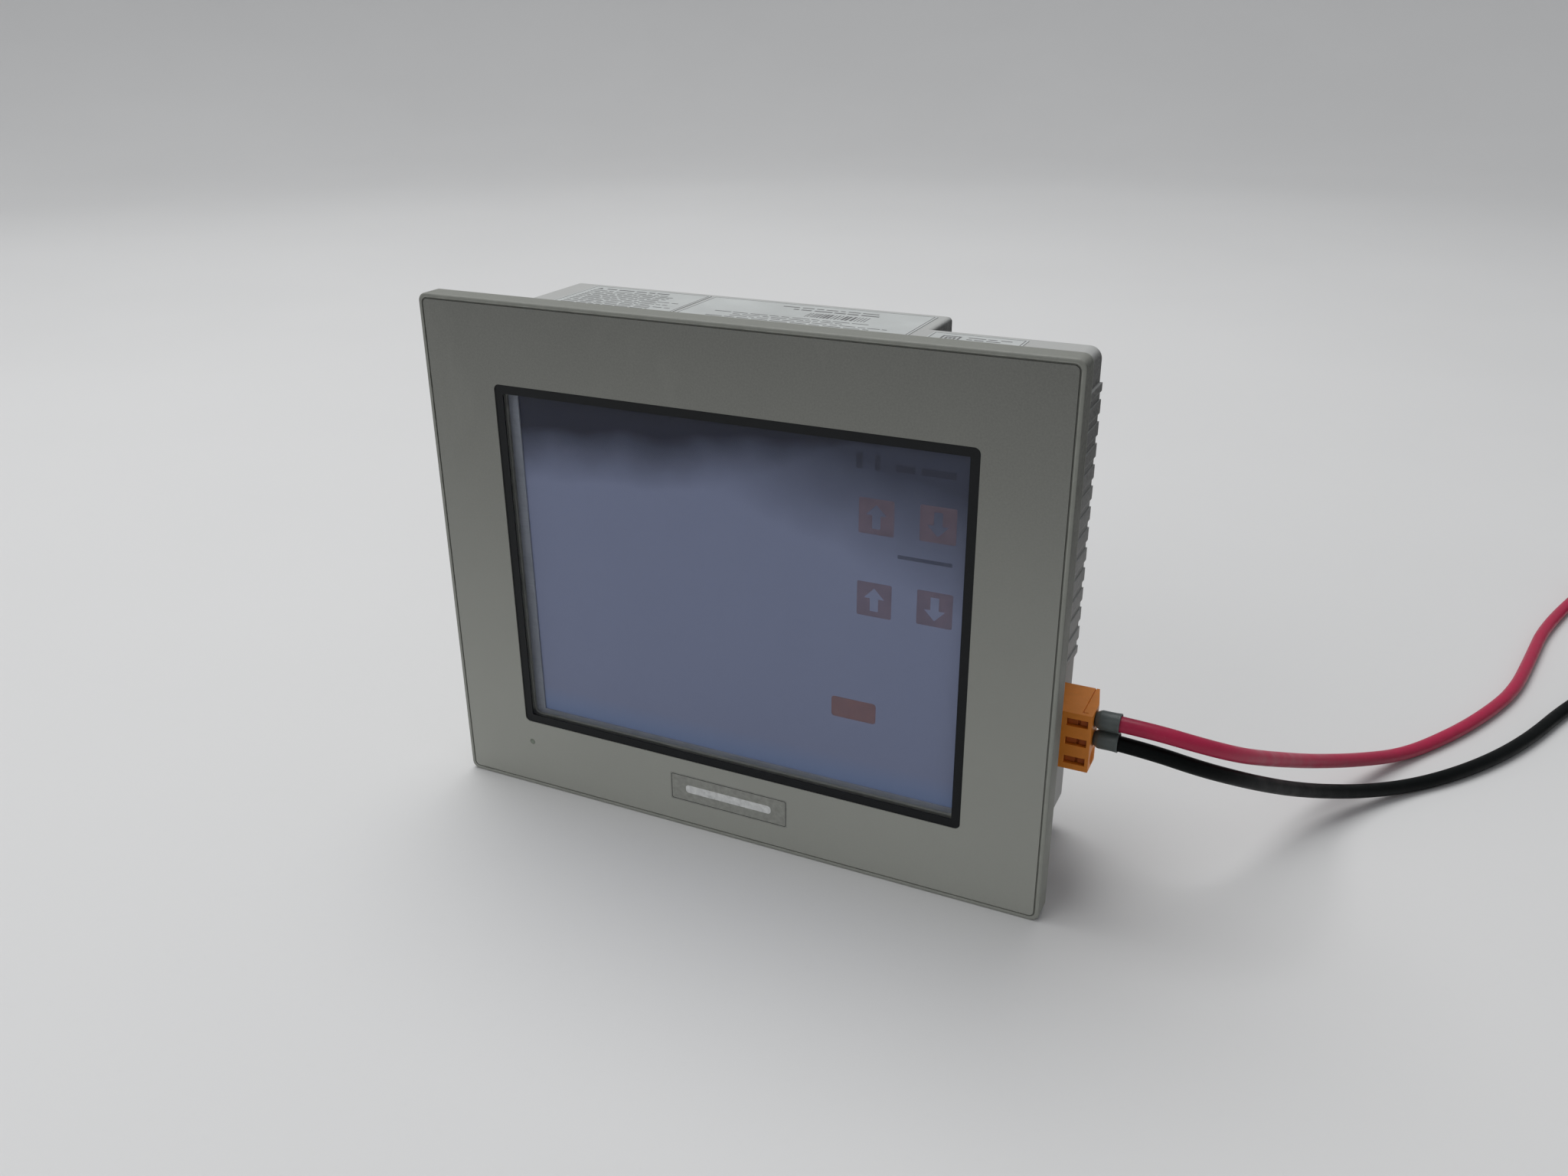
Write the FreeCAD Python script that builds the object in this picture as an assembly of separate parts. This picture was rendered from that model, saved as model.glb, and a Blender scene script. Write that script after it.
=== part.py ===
import FreeCAD, Part
import math
import os

# Panel-mounted operator terminal, millimetres.
# X runs to the right seen from the front, Y from the front into the cabinet, Z up.
# Origin: centre of the cut-out, in the plane of the bezel's rear face.

os.makedirs("parts", exist_ok=True)
V = FreeCAD.Vector

# ---- bezel and overlay ----
panel_w = 167.5
panel_h = 137.0
bezel_t = 5.9
corner_r = 2.2
front_edge_r = 0.45
rim = 1.0
groove = 0.4
sheet_t = 0.5
sheet_r = 1.2

# ---- display window ----
window_w = 126.0
window_h = 95.6
window_z = -0.3
window_r = 1.5
border_wide = 2.3
border_t = 0.25
glass_t = 1.2
glass_play = 0.2
ledge_t = 0.8
ledge_w = 2.1

# ---- display module ----
active_w = 115.2
active_h = 86.4
cell_t = 1.1
lcd_x = 1.2
lcd_up = 0.6
view_margin = 1.5
cell_margin = 2.5
lcd_margin_x = 7.0
lcd_margin_z = 6.6
lcd_t = 8.0
lcd_skin = 0.4
lcd_play = 0.3
layer_gap = 0.1

# ---- case ----
flange_side = 6.25
flange_top = 7.25
deep_depth = 53.6
shallow_depth = 38.0
step_x = 36.0
wall = 2.2
case_r = 3.0
case_edge_r = 1.2
case_inner_r = 0.5
seal_w = 2.4
seal_in = 1.3
seal_seat = 1.0
seal_proud = 0.8

# ---- vents and clip slots ----
vent_pitch = 5.3
vent_w = 2.0
vent_count = 13
vent_top_z = 50.0
vent_start_y = 8.0
vent_wrap = 7.0
vent_pad = 0.7
vent_pad_past = 3.0
rear_vent_len = 26.0
rear_vent_rows = 8
rear_vent_gap = 6.0
rear_vent_in = 8.0
rear_vent_down = 14.0
clip_slot_w = 8.5
clip_slot_y = 3.2
clip_from_y = 9.0
clip_x = 58.0

# ---- boards ----
chassis_y = 6.2
chassis_t = 1.0
main_board_y = 12.0
board_t = 1.6
board_play = 2.0
board_clear = 2.0
power_board_y = 9.0
step_gap = 3.0

# ---- power plug ----
pole_pitch = 5.08
poles = 3
plug_top_z = -20.0
plug_front_y = 11.5
plug_deep = 15.4
plug_out = 10.6
plug_slope_from = 7.0
plug_slope_back = 1.8
plug_gap = 0.3
insert_len = 9.2
insert_side = 0.5
insert_front = 1.5
insert_play = 0.25
header_wall = 1.2
header_back = 3.0
header_gap = 0.4
header_in = 0.2
pin_w = 1.0
pin_play = 0.35
entry_in = 4.1
wire_d = 3.9
ferrule_d = 4.8
ferrule_len = 6.0
ferrule_pin_d = 2.4
ferrule_pin_len = 4.4
ferrule_bore_from = 1.6
pin_bevel = 0.3
collar_neck = 0.7
collar_taper = 1.1

# ---- wires ----
floor_z = -panel_h / 2
arc_share = 0.45
coil_turns = 3.43
coil_mid_d = 11 * wire_d
end_pin_len = 12.0
end_collar_len = 9.0
end_lead = 10.0
end_bore_from = 2.2

# ---- memory card bay ----
bay_x = -46.0
bay_z = 8.0
cover_w = 40.0
cover_h = 34.0
cover_t = 1.6
cover_play = 0.25
cover_stop = 1.2
bay_depth = 12.0
hinge_d = 1.2

body_w = panel_w - 2 * flange_side
body_h = panel_h - 2 * flange_top
recess_w = panel_w - 2 * rim
recess_h = panel_h - 2 * rim
sheet_w = recess_w - 2 * groove
sheet_h = recess_h - 2 * groove
glass_w = window_w - 2 * glass_play
glass_h = window_h - 2 * glass_play
opening_w = glass_w - 2 * ledge_w
opening_h = glass_h - 2 * ledge_w
front_y = -bezel_t
sheet_back = front_y + sheet_t
glass_back = sheet_back + glass_t
lcd_front = glass_back + ledge_t
lcd_w = active_w + 2 * lcd_margin_x
lcd_h = active_h + 2 * lcd_margin_z
side_x = body_w / 2
top_z = body_h / 2
wire_r = wire_d / 2
lcd_z = window_z + lcd_up


def box(x0, x1, y0, y1, z0, z1):
    return Part.makeBox(x1 - x0, y1 - y0, z1 - z0, V(x0, y0, z0))


def slab(w, h, r, y0, y1, cx=0.0, cz=0.0):
    # rounded rectangle in the XZ plane, extruded along Y
    x0, x1 = cx - w / 2, cx + w / 2
    z0, z1 = cz - h / 2, cz + h / 2
    k = r * (1 - math.sqrt(0.5))
    edges = [
        Part.LineSegment(V(x0 + r, y0, z0), V(x1 - r, y0, z0)),
        Part.Arc(V(x1 - r, y0, z0), V(x1 - k, y0, z0 + k), V(x1, y0, z0 + r)),
        Part.LineSegment(V(x1, y0, z0 + r), V(x1, y0, z1 - r)),
        Part.Arc(V(x1, y0, z1 - r), V(x1 - k, y0, z1 - k), V(x1 - r, y0, z1)),
        Part.LineSegment(V(x1 - r, y0, z1), V(x0 + r, y0, z1)),
        Part.Arc(V(x0 + r, y0, z1), V(x0 + k, y0, z1 - k), V(x0, y0, z1 - r)),
        Part.LineSegment(V(x0, y0, z1 - r), V(x0, y0, z0 + r)),
        Part.Arc(V(x0, y0, z0 + r), V(x0 + k, y0, z0 + k), V(x0 + r, y0, z0)),
    ]
    wire = Part.Wire([e.toShape() for e in edges])
    return Part.Face(wire).extrude(V(0, y1 - y0, 0))


def rod_y(x, z, r, y0, y1):
    return Part.makeCylinder(r, y1 - y0, V(x, y0, z), V(0, 1, 0))


def rod_x(y, z, r, x0, x1):
    return Part.makeCylinder(r, x1 - x0, V(x0, y, z), V(1, 0, 0))


def rod_z(x, y, r, z0, z1):
    return Part.makeCylinder(r, z1 - z0, V(x, y, z0), V(0, 0, 1))


def outline(points, axis, length):
    # closed polygon extruded along a vector
    wire = Part.makePolygon(list(points) + [points[0]])
    return Part.Face(wire).extrude(axis * length)


def union(shapes):
    whole = shapes[0]
    if len(shapes) > 1:
        whole = whole.fuse(shapes[1:])
    return whole.removeSplitter()


def save(name, shape):
    solids = shape.Solids
    if len(solids) == 1:
        shape = solids[0]
    else:
        shape = Part.makeCompound(solids)
    print(name, "solids", len(solids), "volume", round(shape.Volume, 1), "valid", shape.isValid())
    shape.exportStep("parts/" + name + ".step")


def round_face_edges(solid, y, r):
    # rounds the outline edges of the face that lies at this Y
    edges = []
    for e in solid.Edges:
        b = e.BoundBox
        if abs(b.YMin - y) < 1e-6 and abs(b.YMax - y) < 1e-6:
            edges.append(e)
    return solid.makeFillet(r, edges)


# ---- front assembly ----

led_x = -61.45
led_z = -54.5
led_r = 0.75
plate_w = 34.4
plate_h = 8.4
plate_z = -56.7
plate_t = 0.12
screw_in = 7.5
screw_x = side_x - screw_in
screw_z = top_z - screw_in
screw_spots = [(-screw_x, 1), (-screw_x, -1), (screw_x, 1), (screw_x, -1)]


def make_bezel():
    body = slab(panel_w, panel_h, corner_r, front_y, 0)
    body = round_face_edges(body, front_y, front_edge_r)
    cuts = [
        slab(recess_w, recess_h, sheet_r + groove, front_y - 1, sheet_back),
        slab(window_w, window_h, window_r, sheet_back - 0.1, glass_back, 0, window_z),
        slab(opening_w, opening_h, window_r, glass_back - 0.1, 0.1, 0, window_z),
        slab(lcd_w + 2 * lcd_play, lcd_h + 2 * lcd_play, 0.8, lcd_front, 0.1, lcd_x, lcd_z),
        rod_y(led_x, led_z, led_r + 0.05, front_y, 0.1),
    ]
    seal_out = seal_in + seal_w
    ring = slab(body_w + 2 * seal_out, body_h + 2 * seal_out, case_r + seal_out, -seal_seat, 0.1)
    ring = ring.cut(slab(body_w + 2 * seal_in, body_h + 2 * seal_in, case_r + seal_in, -seal_seat, 0.1))
    cuts.append(ring)
    return body.cut(cuts)


def make_sheet():
    sheet = slab(sheet_w, sheet_h, sheet_r, front_y, sheet_back)
    return sheet.cut([
        slab(window_w, window_h, window_r, front_y - 1, sheet_back + 1, 0, window_z),
        slab(plate_w, plate_h, 0.6, front_y - 1, front_y + plate_t, 0, plate_z),
        rod_y(led_x, led_z, led_r + 0.05, front_y - 1, sheet_back + 1),
    ])


def make_border():
    ring = slab(window_w, window_h, window_r, sheet_back - border_t, sheet_back, 0, window_z)
    inside = slab(
        window_w - 2 * border_wide, window_h - 2 * border_wide, 0.3,
        sheet_back - border_t - 1, sheet_back + 1, 0, window_z,
    )
    return ring.cut(inside)


def make_seal():
    seal_out = seal_in + seal_w
    play = 0.05
    outer = slab(
        body_w + 2 * (seal_out - play), body_h + 2 * (seal_out - play),
        case_r + seal_out - play, -seal_seat, seal_proud,
    )
    inner = slab(
        body_w + 2 * (seal_in + play), body_h + 2 * (seal_in + play),
        case_r + seal_in + play, -seal_seat - 1, seal_proud + 1,
    )
    return outer.cut(inner)


save("front_bezel", make_bezel())
save("front_sheet", make_sheet())
save("window_border", make_border())
save("touch_panel", slab(glass_w, glass_h, window_r - glass_play, sheet_back, glass_back, 0, window_z))
save("name_plate", slab(plate_w, plate_h, 0.6, front_y, front_y + plate_t, 0, plate_z))
save("power_led", rod_y(led_x, led_z, led_r, front_y, -0.8))
save("panel_gasket", make_seal())

# ---- display module ----
# A pressed frame holds the liquid crystal cell in front and the backlight behind it.

cell_front = lcd_front + lcd_skin
backlight_front = cell_front + cell_t + layer_gap
lcd_back = lcd_front + lcd_t
cell_w = active_w + 2 * cell_margin
cell_h = active_h + 2 * cell_margin
view_w = active_w + 2 * view_margin
view_h = active_h + 2 * view_margin
tray_w = lcd_w - 2 * (lcd_skin + layer_gap)
tray_h = lcd_h - 2 * (lcd_skin + layer_gap)


def make_lcd_frame():
    body = slab(lcd_w, lcd_h, 0.6, lcd_front, lcd_back, lcd_x, lcd_z)
    hollow = slab(
        lcd_w - 2 * lcd_skin, lcd_h - 2 * lcd_skin, 0.2, cell_front, lcd_back + 1, lcd_x, lcd_z,
    )
    view = slab(view_w, view_h, 0.2, lcd_front - 1, cell_front + 1, lcd_x, lcd_z)
    return body.cut([hollow, view])


save("lcd_frame", make_lcd_frame())
save("lcd_screen", slab(cell_w, cell_h, 0.4, cell_front, cell_front + cell_t, lcd_x, lcd_z))
save("backlight_unit", slab(tray_w, tray_h, 0.2, backlight_front, lcd_back, lcd_x, lcd_z))

# ---- memory card bay ----
# A pocket in the rear wall of the deep block, closed by a small cover on a steel pin.

rear_y = deep_depth
pocket_w = cover_w + 2 * cover_play
pocket_h = cover_h + 2 * cover_play
bay_floor = rear_y - bay_depth
ledge_y = rear_y - cover_t - 0.1
hinge_x = bay_x - cover_w / 2 + cover_t / 2
hinge_y = rear_y - cover_t / 2
bay_rim = 1.6
bay_inner_w = cover_w - 2 * bay_rim
bay_inner_h = cover_h - 2 * bay_rim
pin_past = 2.4
card_w = 26.0
card_h = 4.2
card_z = bay_z + 7.5
card_back = main_board_y + board_t + board_clear
card_proud = 1.4
dip_w = 10.6
dip_h = 6.4
dip_x = bay_x - 4.0
dip_z = bay_z - 6.5
dip_pitch = 2.54
dip_count = 4
dip_deep = 6.0
dip_back = bay_floor - dip_deep
dip_proud = 1.0
dip_travel = 1.8
slider_w = 1.2
slider_h = 1.4
slider_play = 0.15
eject_w = 4.0
eject_h = 3.2
eject_gap = 2.4
eject_x = bay_x + card_w / 2 + eject_gap
eject_deep = 6.0
eject_proud = 4.0
eject_play = 0.2
bay_play = 0.1
finger_out = 1.5
finger_r = 6.5
notch_r = 5.0
stop_in = 8.0
stop_h = 1.2
hinge_play = 0.05
slider_deep = 1.1
slider_proud = 0.8
slot_lip = 1.0
slot_wall = 3.0
slot_mouth_h = 2.2


def bay_block():
    # the moulded tub around the bay, standing into the case
    return box(
        bay_x - pocket_w / 2 - wall, bay_x + pocket_w / 2 + wall,
        bay_floor - wall, rear_y - wall / 2,
        bay_z - pocket_h / 2 - wall, bay_z + pocket_h / 2 + wall,
    )


def bay_cuts():
    flush = box(
        bay_x - pocket_w / 2, bay_x + pocket_w / 2, ledge_y, rear_y + 1,
        bay_z - pocket_h / 2, bay_z + pocket_h / 2,
    )
    inner = box(
        bay_x - bay_inner_w / 2, bay_x + bay_inner_w / 2, bay_floor, rear_y + 1,
        bay_z - bay_inner_h / 2, bay_z + bay_inner_h / 2,
    )
    barrel = rod_z(
        hinge_x, hinge_y, cover_t / 2 + cover_play,
        bay_z - pocket_h / 2, bay_z + pocket_h / 2,
    )
    pin_hole = rod_z(
        hinge_x, hinge_y, hinge_d / 2,
        bay_z - pocket_h / 2 - pin_past, bay_z + pocket_h / 2 + pin_past,
    )
    finger = rod_y(
        bay_x + cover_w / 2 + finger_out, bay_z, finger_r, rear_y - cover_stop, rear_y + 1,
    )
    card_hole = box(
        bay_x - card_w / 2 - bay_play, bay_x + card_w / 2 + bay_play, bay_floor - wall - 1, bay_floor + 1,
        card_z - card_h / 2 - bay_play, card_z + card_h / 2 + bay_play,
    )
    dip_hole = box(
        dip_x - dip_w / 2 - bay_play, dip_x + dip_w / 2 + bay_play, bay_floor - wall - 1, bay_floor + 1,
        dip_z - dip_h / 2 - bay_play, dip_z + dip_h / 2 + bay_play,
    )
    eject_hole = box(
        eject_x - eject_w / 2 - eject_play, eject_x + eject_w / 2 + eject_play,
        bay_floor - wall - 1, bay_floor + 1,
        card_z - eject_h / 2 - eject_play, card_z + eject_h / 2 + eject_play,
    )
    return [flush, inner, barrel, pin_hole, finger, card_hole, dip_hole, eject_hole]


def make_cover():
    x0 = bay_x - cover_w / 2
    x1 = bay_x + cover_w / 2
    z0 = bay_z - cover_h / 2
    z1 = bay_z + cover_h / 2
    leaf = box(hinge_x, x1, rear_y - cover_t, rear_y, z0, z1)
    barrel = rod_z(hinge_x, hinge_y, cover_t / 2, z0, z1)
    rib = box(
        x0 + stop_in, x1 - stop_in, rear_y - cover_t - cover_stop, rear_y - cover_t,
        bay_z - stop_h / 2, bay_z + stop_h / 2,
    )
    cover = union([leaf, barrel, rib])
    notch = rod_y(x1 + finger_out, bay_z, notch_r, rear_y - cover_t - 1, rear_y + 1)
    bore = rod_z(hinge_x, hinge_y, hinge_d / 2 + hinge_play, z0 - 1, z1 + 1)
    return cover.cut([notch, bore])


def slider_spot(i):
    return dip_x + (i - (dip_count - 1) / 2) * dip_pitch


def make_dip_switch():
    body = box(
        dip_x - dip_w / 2, dip_x + dip_w / 2, dip_back, bay_floor + dip_proud,
        dip_z - dip_h / 2, dip_z + dip_h / 2,
    )
    slots = []
    for i in range(dip_count):
        x = slider_spot(i)
        half = (slider_h + dip_travel) / 2 + slider_play
        slots.append(box(
            x - slider_w / 2 - slider_play, x + slider_w / 2 + slider_play,
            bay_floor - slider_deep - bay_play, bay_floor + dip_proud + 1, dip_z - half, dip_z + half,
        ))
    return body.cut(slots)


def make_slider(i):
    x = slider_spot(i)
    low = dip_z - dip_travel / 2 - slider_h / 2
    return box(
        x - slider_w / 2, x + slider_w / 2,
        bay_floor - slider_deep, bay_floor + dip_proud + slider_proud,
        low, low + slider_h,
    )


def make_card_slot():
    body = box(
        bay_x - card_w / 2, bay_x + card_w / 2, card_back, bay_floor + card_proud,
        card_z - card_h / 2, card_z + card_h / 2,
    )
    mouth = box(
        bay_x - card_w / 2 + slot_lip, bay_x + card_w / 2 - slot_lip,
        card_back + slot_wall, bay_floor + card_proud + 1,
        card_z - slot_mouth_h / 2, card_z + slot_mouth_h / 2,
    )
    return body.cut(mouth)


def make_eject_button():
    return box(
        eject_x - eject_w / 2, eject_x + eject_w / 2, bay_floor - eject_deep, bay_floor + eject_proud,
        card_z - eject_h / 2, card_z + eject_h / 2,
    )


save("card_cover", make_cover())
save("cover_hinge_pin", rod_z(
    hinge_x, hinge_y, hinge_d / 2,
    bay_z - pocket_h / 2 - pin_past, bay_z + pocket_h / 2 + pin_past,
))
save("card_slot", make_card_slot())
save("card_eject_button", make_eject_button())
save("dip_switch", make_dip_switch())
for number in range(dip_count):
    save("dip_slider_" + str(number + 1), make_slider(number))

# ---- sockets along the bottom wall ----
# Each stands on the rear face of the main board and opens downwards.

board_rear = main_board_y + board_t
bottom_z = -top_z
port_play = 0.3
jack_x = -52.0
jack_w = 16.0
jack_y = 13.4
jack_len = 21.0
jack_mouth_w = 11.8
jack_mouth_y = 8.6
jack_mouth_len = 13.0
jack_mouth_in = 2.4
jack_latch_w = 6.0
jack_latch_t = 1.6
jack_latch_short = 3.0
host_x = -30.0
host_w = 13.2
host_y = 6.9
host_len = 14.0
host_tongue = 1.8
usb_skin = 0.4
usb_back_t = 1.5
usb_tongue_side = 1.2
usb_tongue_in = 0.8
device_x = -14.5
device_w = 7.8
device_y = 4.0
device_len = 9.2
device_tongue = 1.0
serial_x = 12.0
serial_rise = 6.6
serial_y = board_rear + serial_rise
serial_flange_w = 30.8
serial_flange_y = 12.4
serial_flange_t = 0.9
shell_w = 16.9
shell_y = 8.3
shell_slope = 1.2
shell_out = 5.6
shell_skin = 0.45
screwlock_pitch = 24.99
screwlock_r = 2.6
screwlock_bore = 1.3
screwlock_out = 5.0
screwlock_stud_r = 1.5
screwlock_stud_len = 5.0
screwlock_hole_r = 1.6
screwlock_thread = 1.5
contact_pitch = 2.74
contact_rows = 2.84
contact_r = 0.5
contact_short = 0.9
contact_in = 5.5
core_play = 0.05
core_face = 0.6
core_lap = 1.0
core_deep = 5.6
core_len = 9.0
hole_play = 0.02


def make_jack():
    body = box(
        jack_x - jack_w / 2, jack_x + jack_w / 2, board_rear, board_rear + jack_y,
        bottom_z, bottom_z + jack_len,
    )
    mouth_back = board_rear + jack_mouth_in
    mouth = box(
        jack_x - jack_mouth_w / 2, jack_x + jack_mouth_w / 2, mouth_back, mouth_back + jack_mouth_y,
        bottom_z - 1, bottom_z + jack_mouth_len,
    )
    latch = box(
        jack_x - jack_latch_w / 2, jack_x + jack_latch_w / 2,
        mouth_back + jack_mouth_y - 0.1, mouth_back + jack_mouth_y + jack_latch_t,
        bottom_z - 1, bottom_z + jack_mouth_len - jack_latch_short,
    )
    return body.cut([mouth, latch])


def make_usb(x, w, deep, length, tongue_t):
    y0 = board_rear
    body = box(x - w / 2, x + w / 2, y0, y0 + deep, bottom_z, bottom_z + length)
    hollow = box(
        x - w / 2 + usb_skin, x + w / 2 - usb_skin, y0 + usb_skin, y0 + deep - usb_skin,
        bottom_z - 1, bottom_z + length - usb_back_t,
    )
    mid = y0 + deep / 2
    tongue = box(
        x - w / 2 + usb_tongue_side, x + w / 2 - usb_tongue_side,
        mid - tongue_t / 2, mid + tongue_t / 2,
        bottom_z + usb_tongue_in, bottom_z + length - usb_back_t / 2,
    )
    return union([body.cut(hollow), tongue])


def shell_outline(grow, z, length):
    # D-shaped outline with sloping ends
    w = shell_w / 2 + grow
    d = shell_y / 2 + grow
    points = [
        V(serial_x - w, serial_y + d, z),
        V(serial_x + w, serial_y + d, z),
        V(serial_x + w - shell_slope, serial_y - d, z),
        V(serial_x - w + shell_slope, serial_y - d, z),
    ]
    return outline(points, V(0, 0, 1), length)


def make_serial_shell():
    flange = box(
        serial_x - serial_flange_w / 2, serial_x + serial_flange_w / 2,
        serial_y - serial_flange_y / 2, serial_y + serial_flange_y / 2,
        bottom_z, bottom_z + serial_flange_t,
    )
    shell = shell_outline(0, bottom_z - shell_out, shell_out + 0.1)
    hollow = shell_outline(-shell_skin, bottom_z - shell_out - 1, shell_out + serial_flange_t + 2)
    screw_holes = []
    for side in (-1, 1):
        x = serial_x + side * screwlock_pitch / 2
        screw_holes.append(rod_z(x, serial_y, screwlock_hole_r, bottom_z - 1, bottom_z + 2))
    return union([flange, shell]).cut([hollow] + screw_holes)


def pin_spots():
    spots = []
    for i in range(5):
        spots.append((serial_x + (i - 2) * contact_pitch, serial_y + contact_rows / 2))
    for i in range(4):
        spots.append((serial_x + (i - 1.5) * contact_pitch, serial_y - contact_rows / 2))
    return spots


def make_serial_core():
    inner = shell_outline(-shell_skin - core_play, bottom_z - core_face, serial_flange_t + core_face + 1)
    back = box(
        serial_x - shell_w / 2 - core_lap, serial_x + shell_w / 2 + core_lap,
        board_rear, serial_y + core_deep,
        bottom_z + serial_flange_t, bottom_z + core_len,
    )
    bore_r = contact_r + hole_play
    holes = [rod_z(x, y, bore_r, bottom_z - 2, bottom_z + contact_in + 0.5) for x, y in pin_spots()]
    return union([inner, back]).cut(holes)


def make_serial_pins():
    return Part.makeCompound([
        rod_z(x, y, contact_r, bottom_z - shell_out + contact_short, bottom_z + contact_in)
        for x, y in pin_spots()
    ])


def make_screwlocks():
    locks = []
    for side in (-1, 1):
        x = serial_x + side * screwlock_pitch / 2
        points = []
        for k in range(6):
            a = math.radians(60 * k)
            points.append(V(
                x + screwlock_r * math.cos(a), serial_y + screwlock_r * math.sin(a),
                bottom_z - screwlock_out,
            ))
        hexagon = outline(points, V(0, 0, 1), screwlock_out)
        stud = rod_z(x, serial_y, screwlock_stud_r, bottom_z, bottom_z + screwlock_stud_len)
        bore = rod_z(
            x, serial_y, screwlock_bore,
            bottom_z - screwlock_out - 1, bottom_z + screwlock_thread,
        )
        locks.append(union([hexagon, stud]).cut(bore))
    return Part.makeCompound(locks)


def port_cuts():
    z0 = bottom_z - 1
    z1 = bottom_z + wall + 0.5
    p = port_play
    return [
        box(jack_x - jack_w / 2 - p, jack_x + jack_w / 2 + p,
            board_rear - p, board_rear + jack_y + p, z0, z1),
        box(host_x - host_w / 2 - p, host_x + host_w / 2 + p,
            board_rear - p, board_rear + host_y + p, z0, z1),
        box(device_x - device_w / 2 - p, device_x + device_w / 2 + p,
            board_rear - p, board_rear + device_y + p, z0, z1),
        box(serial_x - serial_flange_w / 2 - p, serial_x + serial_flange_w / 2 + p,
            board_rear - p, serial_y + serial_flange_y / 2 + p, z0, z1),
    ]


save("ethernet_jack", make_jack())
save("usb_host_port", make_usb(host_x, host_w, host_y, host_len, host_tongue))
save("usb_device_port", make_usb(device_x, device_w, device_y, device_len, device_tongue))
save("serial_port_shell", make_serial_shell())
save("serial_port_core", make_serial_core())
save("serial_port_pins", make_serial_pins())
save("serial_screwlocks", make_screwlocks())

# ---- power inlet and plug ----
# Three spring-clamp poles stacked along Z, pulled off along +X.

plug_h = poles * pole_pitch
plug_z = plug_top_z - plug_h / 2
plug_back_y = plug_front_y + plug_deep
plug_x0 = side_x + plug_gap
plug_x1 = side_x + plug_gap + plug_out
insert_y0 = plug_front_y + insert_front
insert_y1 = plug_back_y - insert_front
insert_h = plug_h - 2 * insert_side
insert_x0 = plug_x0 - insert_len
header_x0 = insert_x0 - header_gap - header_back
header_x1 = side_x - header_in
header_y0 = insert_y0 - insert_play - header_wall
header_y1 = insert_y1 + insert_play + header_wall
header_h = insert_h + 2 * (insert_play + header_wall)
entry_y = plug_front_y + entry_in
contact_y = (insert_y0 + insert_y1) / 2
contact_w = 3.0
contact_play = 0.05
button_travel = 0.6
button_w = 4.8
button_h = 1.7
button_play = 0.15
button_sunk = 0.9
button_len = 1.0
button_slit = 0.6
button_slit_deep = 0.5
button_edge = 1.0
button_x = plug_x1 - button_edge - button_w / 2
button_y0 = plug_front_y + button_sunk
button_y1 = button_y0 + button_len
parting_w = 0.25
parting_deep = 0.3
parting_x = plug_x1 - 2.6
parting_end = plug_x1 - 1.2
parting_y = plug_front_y + 1.2
lip_y = 0.9
lip_drop = 0.8
funnel_r = 2.15
funnel_deep = 1.2
pocket_back = 0.1
contact_len = 7.2
contact_from = 0.6
contact_bore_len = 7.0
pin_reach = 6.4


def pole_z(i):
    return plug_top_z - pole_pitch * (i + 0.5)


def make_header():
    body = box(
        header_x0, header_x1, power_board_y + board_t, header_y1,
        plug_z - header_h / 2, plug_z + header_h / 2,
    )
    pocket = box(
        header_x0 + header_back, header_x1 + 1, insert_y0 - insert_play, insert_y1 + insert_play,
        plug_z - insert_h / 2 - insert_play, plug_z + insert_h / 2 + insert_play,
    )
    holes = []
    for i in range(poles):
        z = pole_z(i)
        holes.append(box(
            header_x0 - 1, header_x0 + header_back + 1, contact_y - pin_w / 2, contact_y + pin_w / 2,
            z - pin_w / 2, z + pin_w / 2,
        ))
    return body.cut([pocket] + holes)


def make_header_pins():
    pins = []
    for i in range(poles):
        z = pole_z(i)
        pins.append(box(
            header_x0, insert_x0 + pin_reach, contact_y - pin_w / 2, contact_y + pin_w / 2,
            z - pin_w / 2, z + pin_w / 2,
        ))
    return Part.makeCompound(pins)


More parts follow.
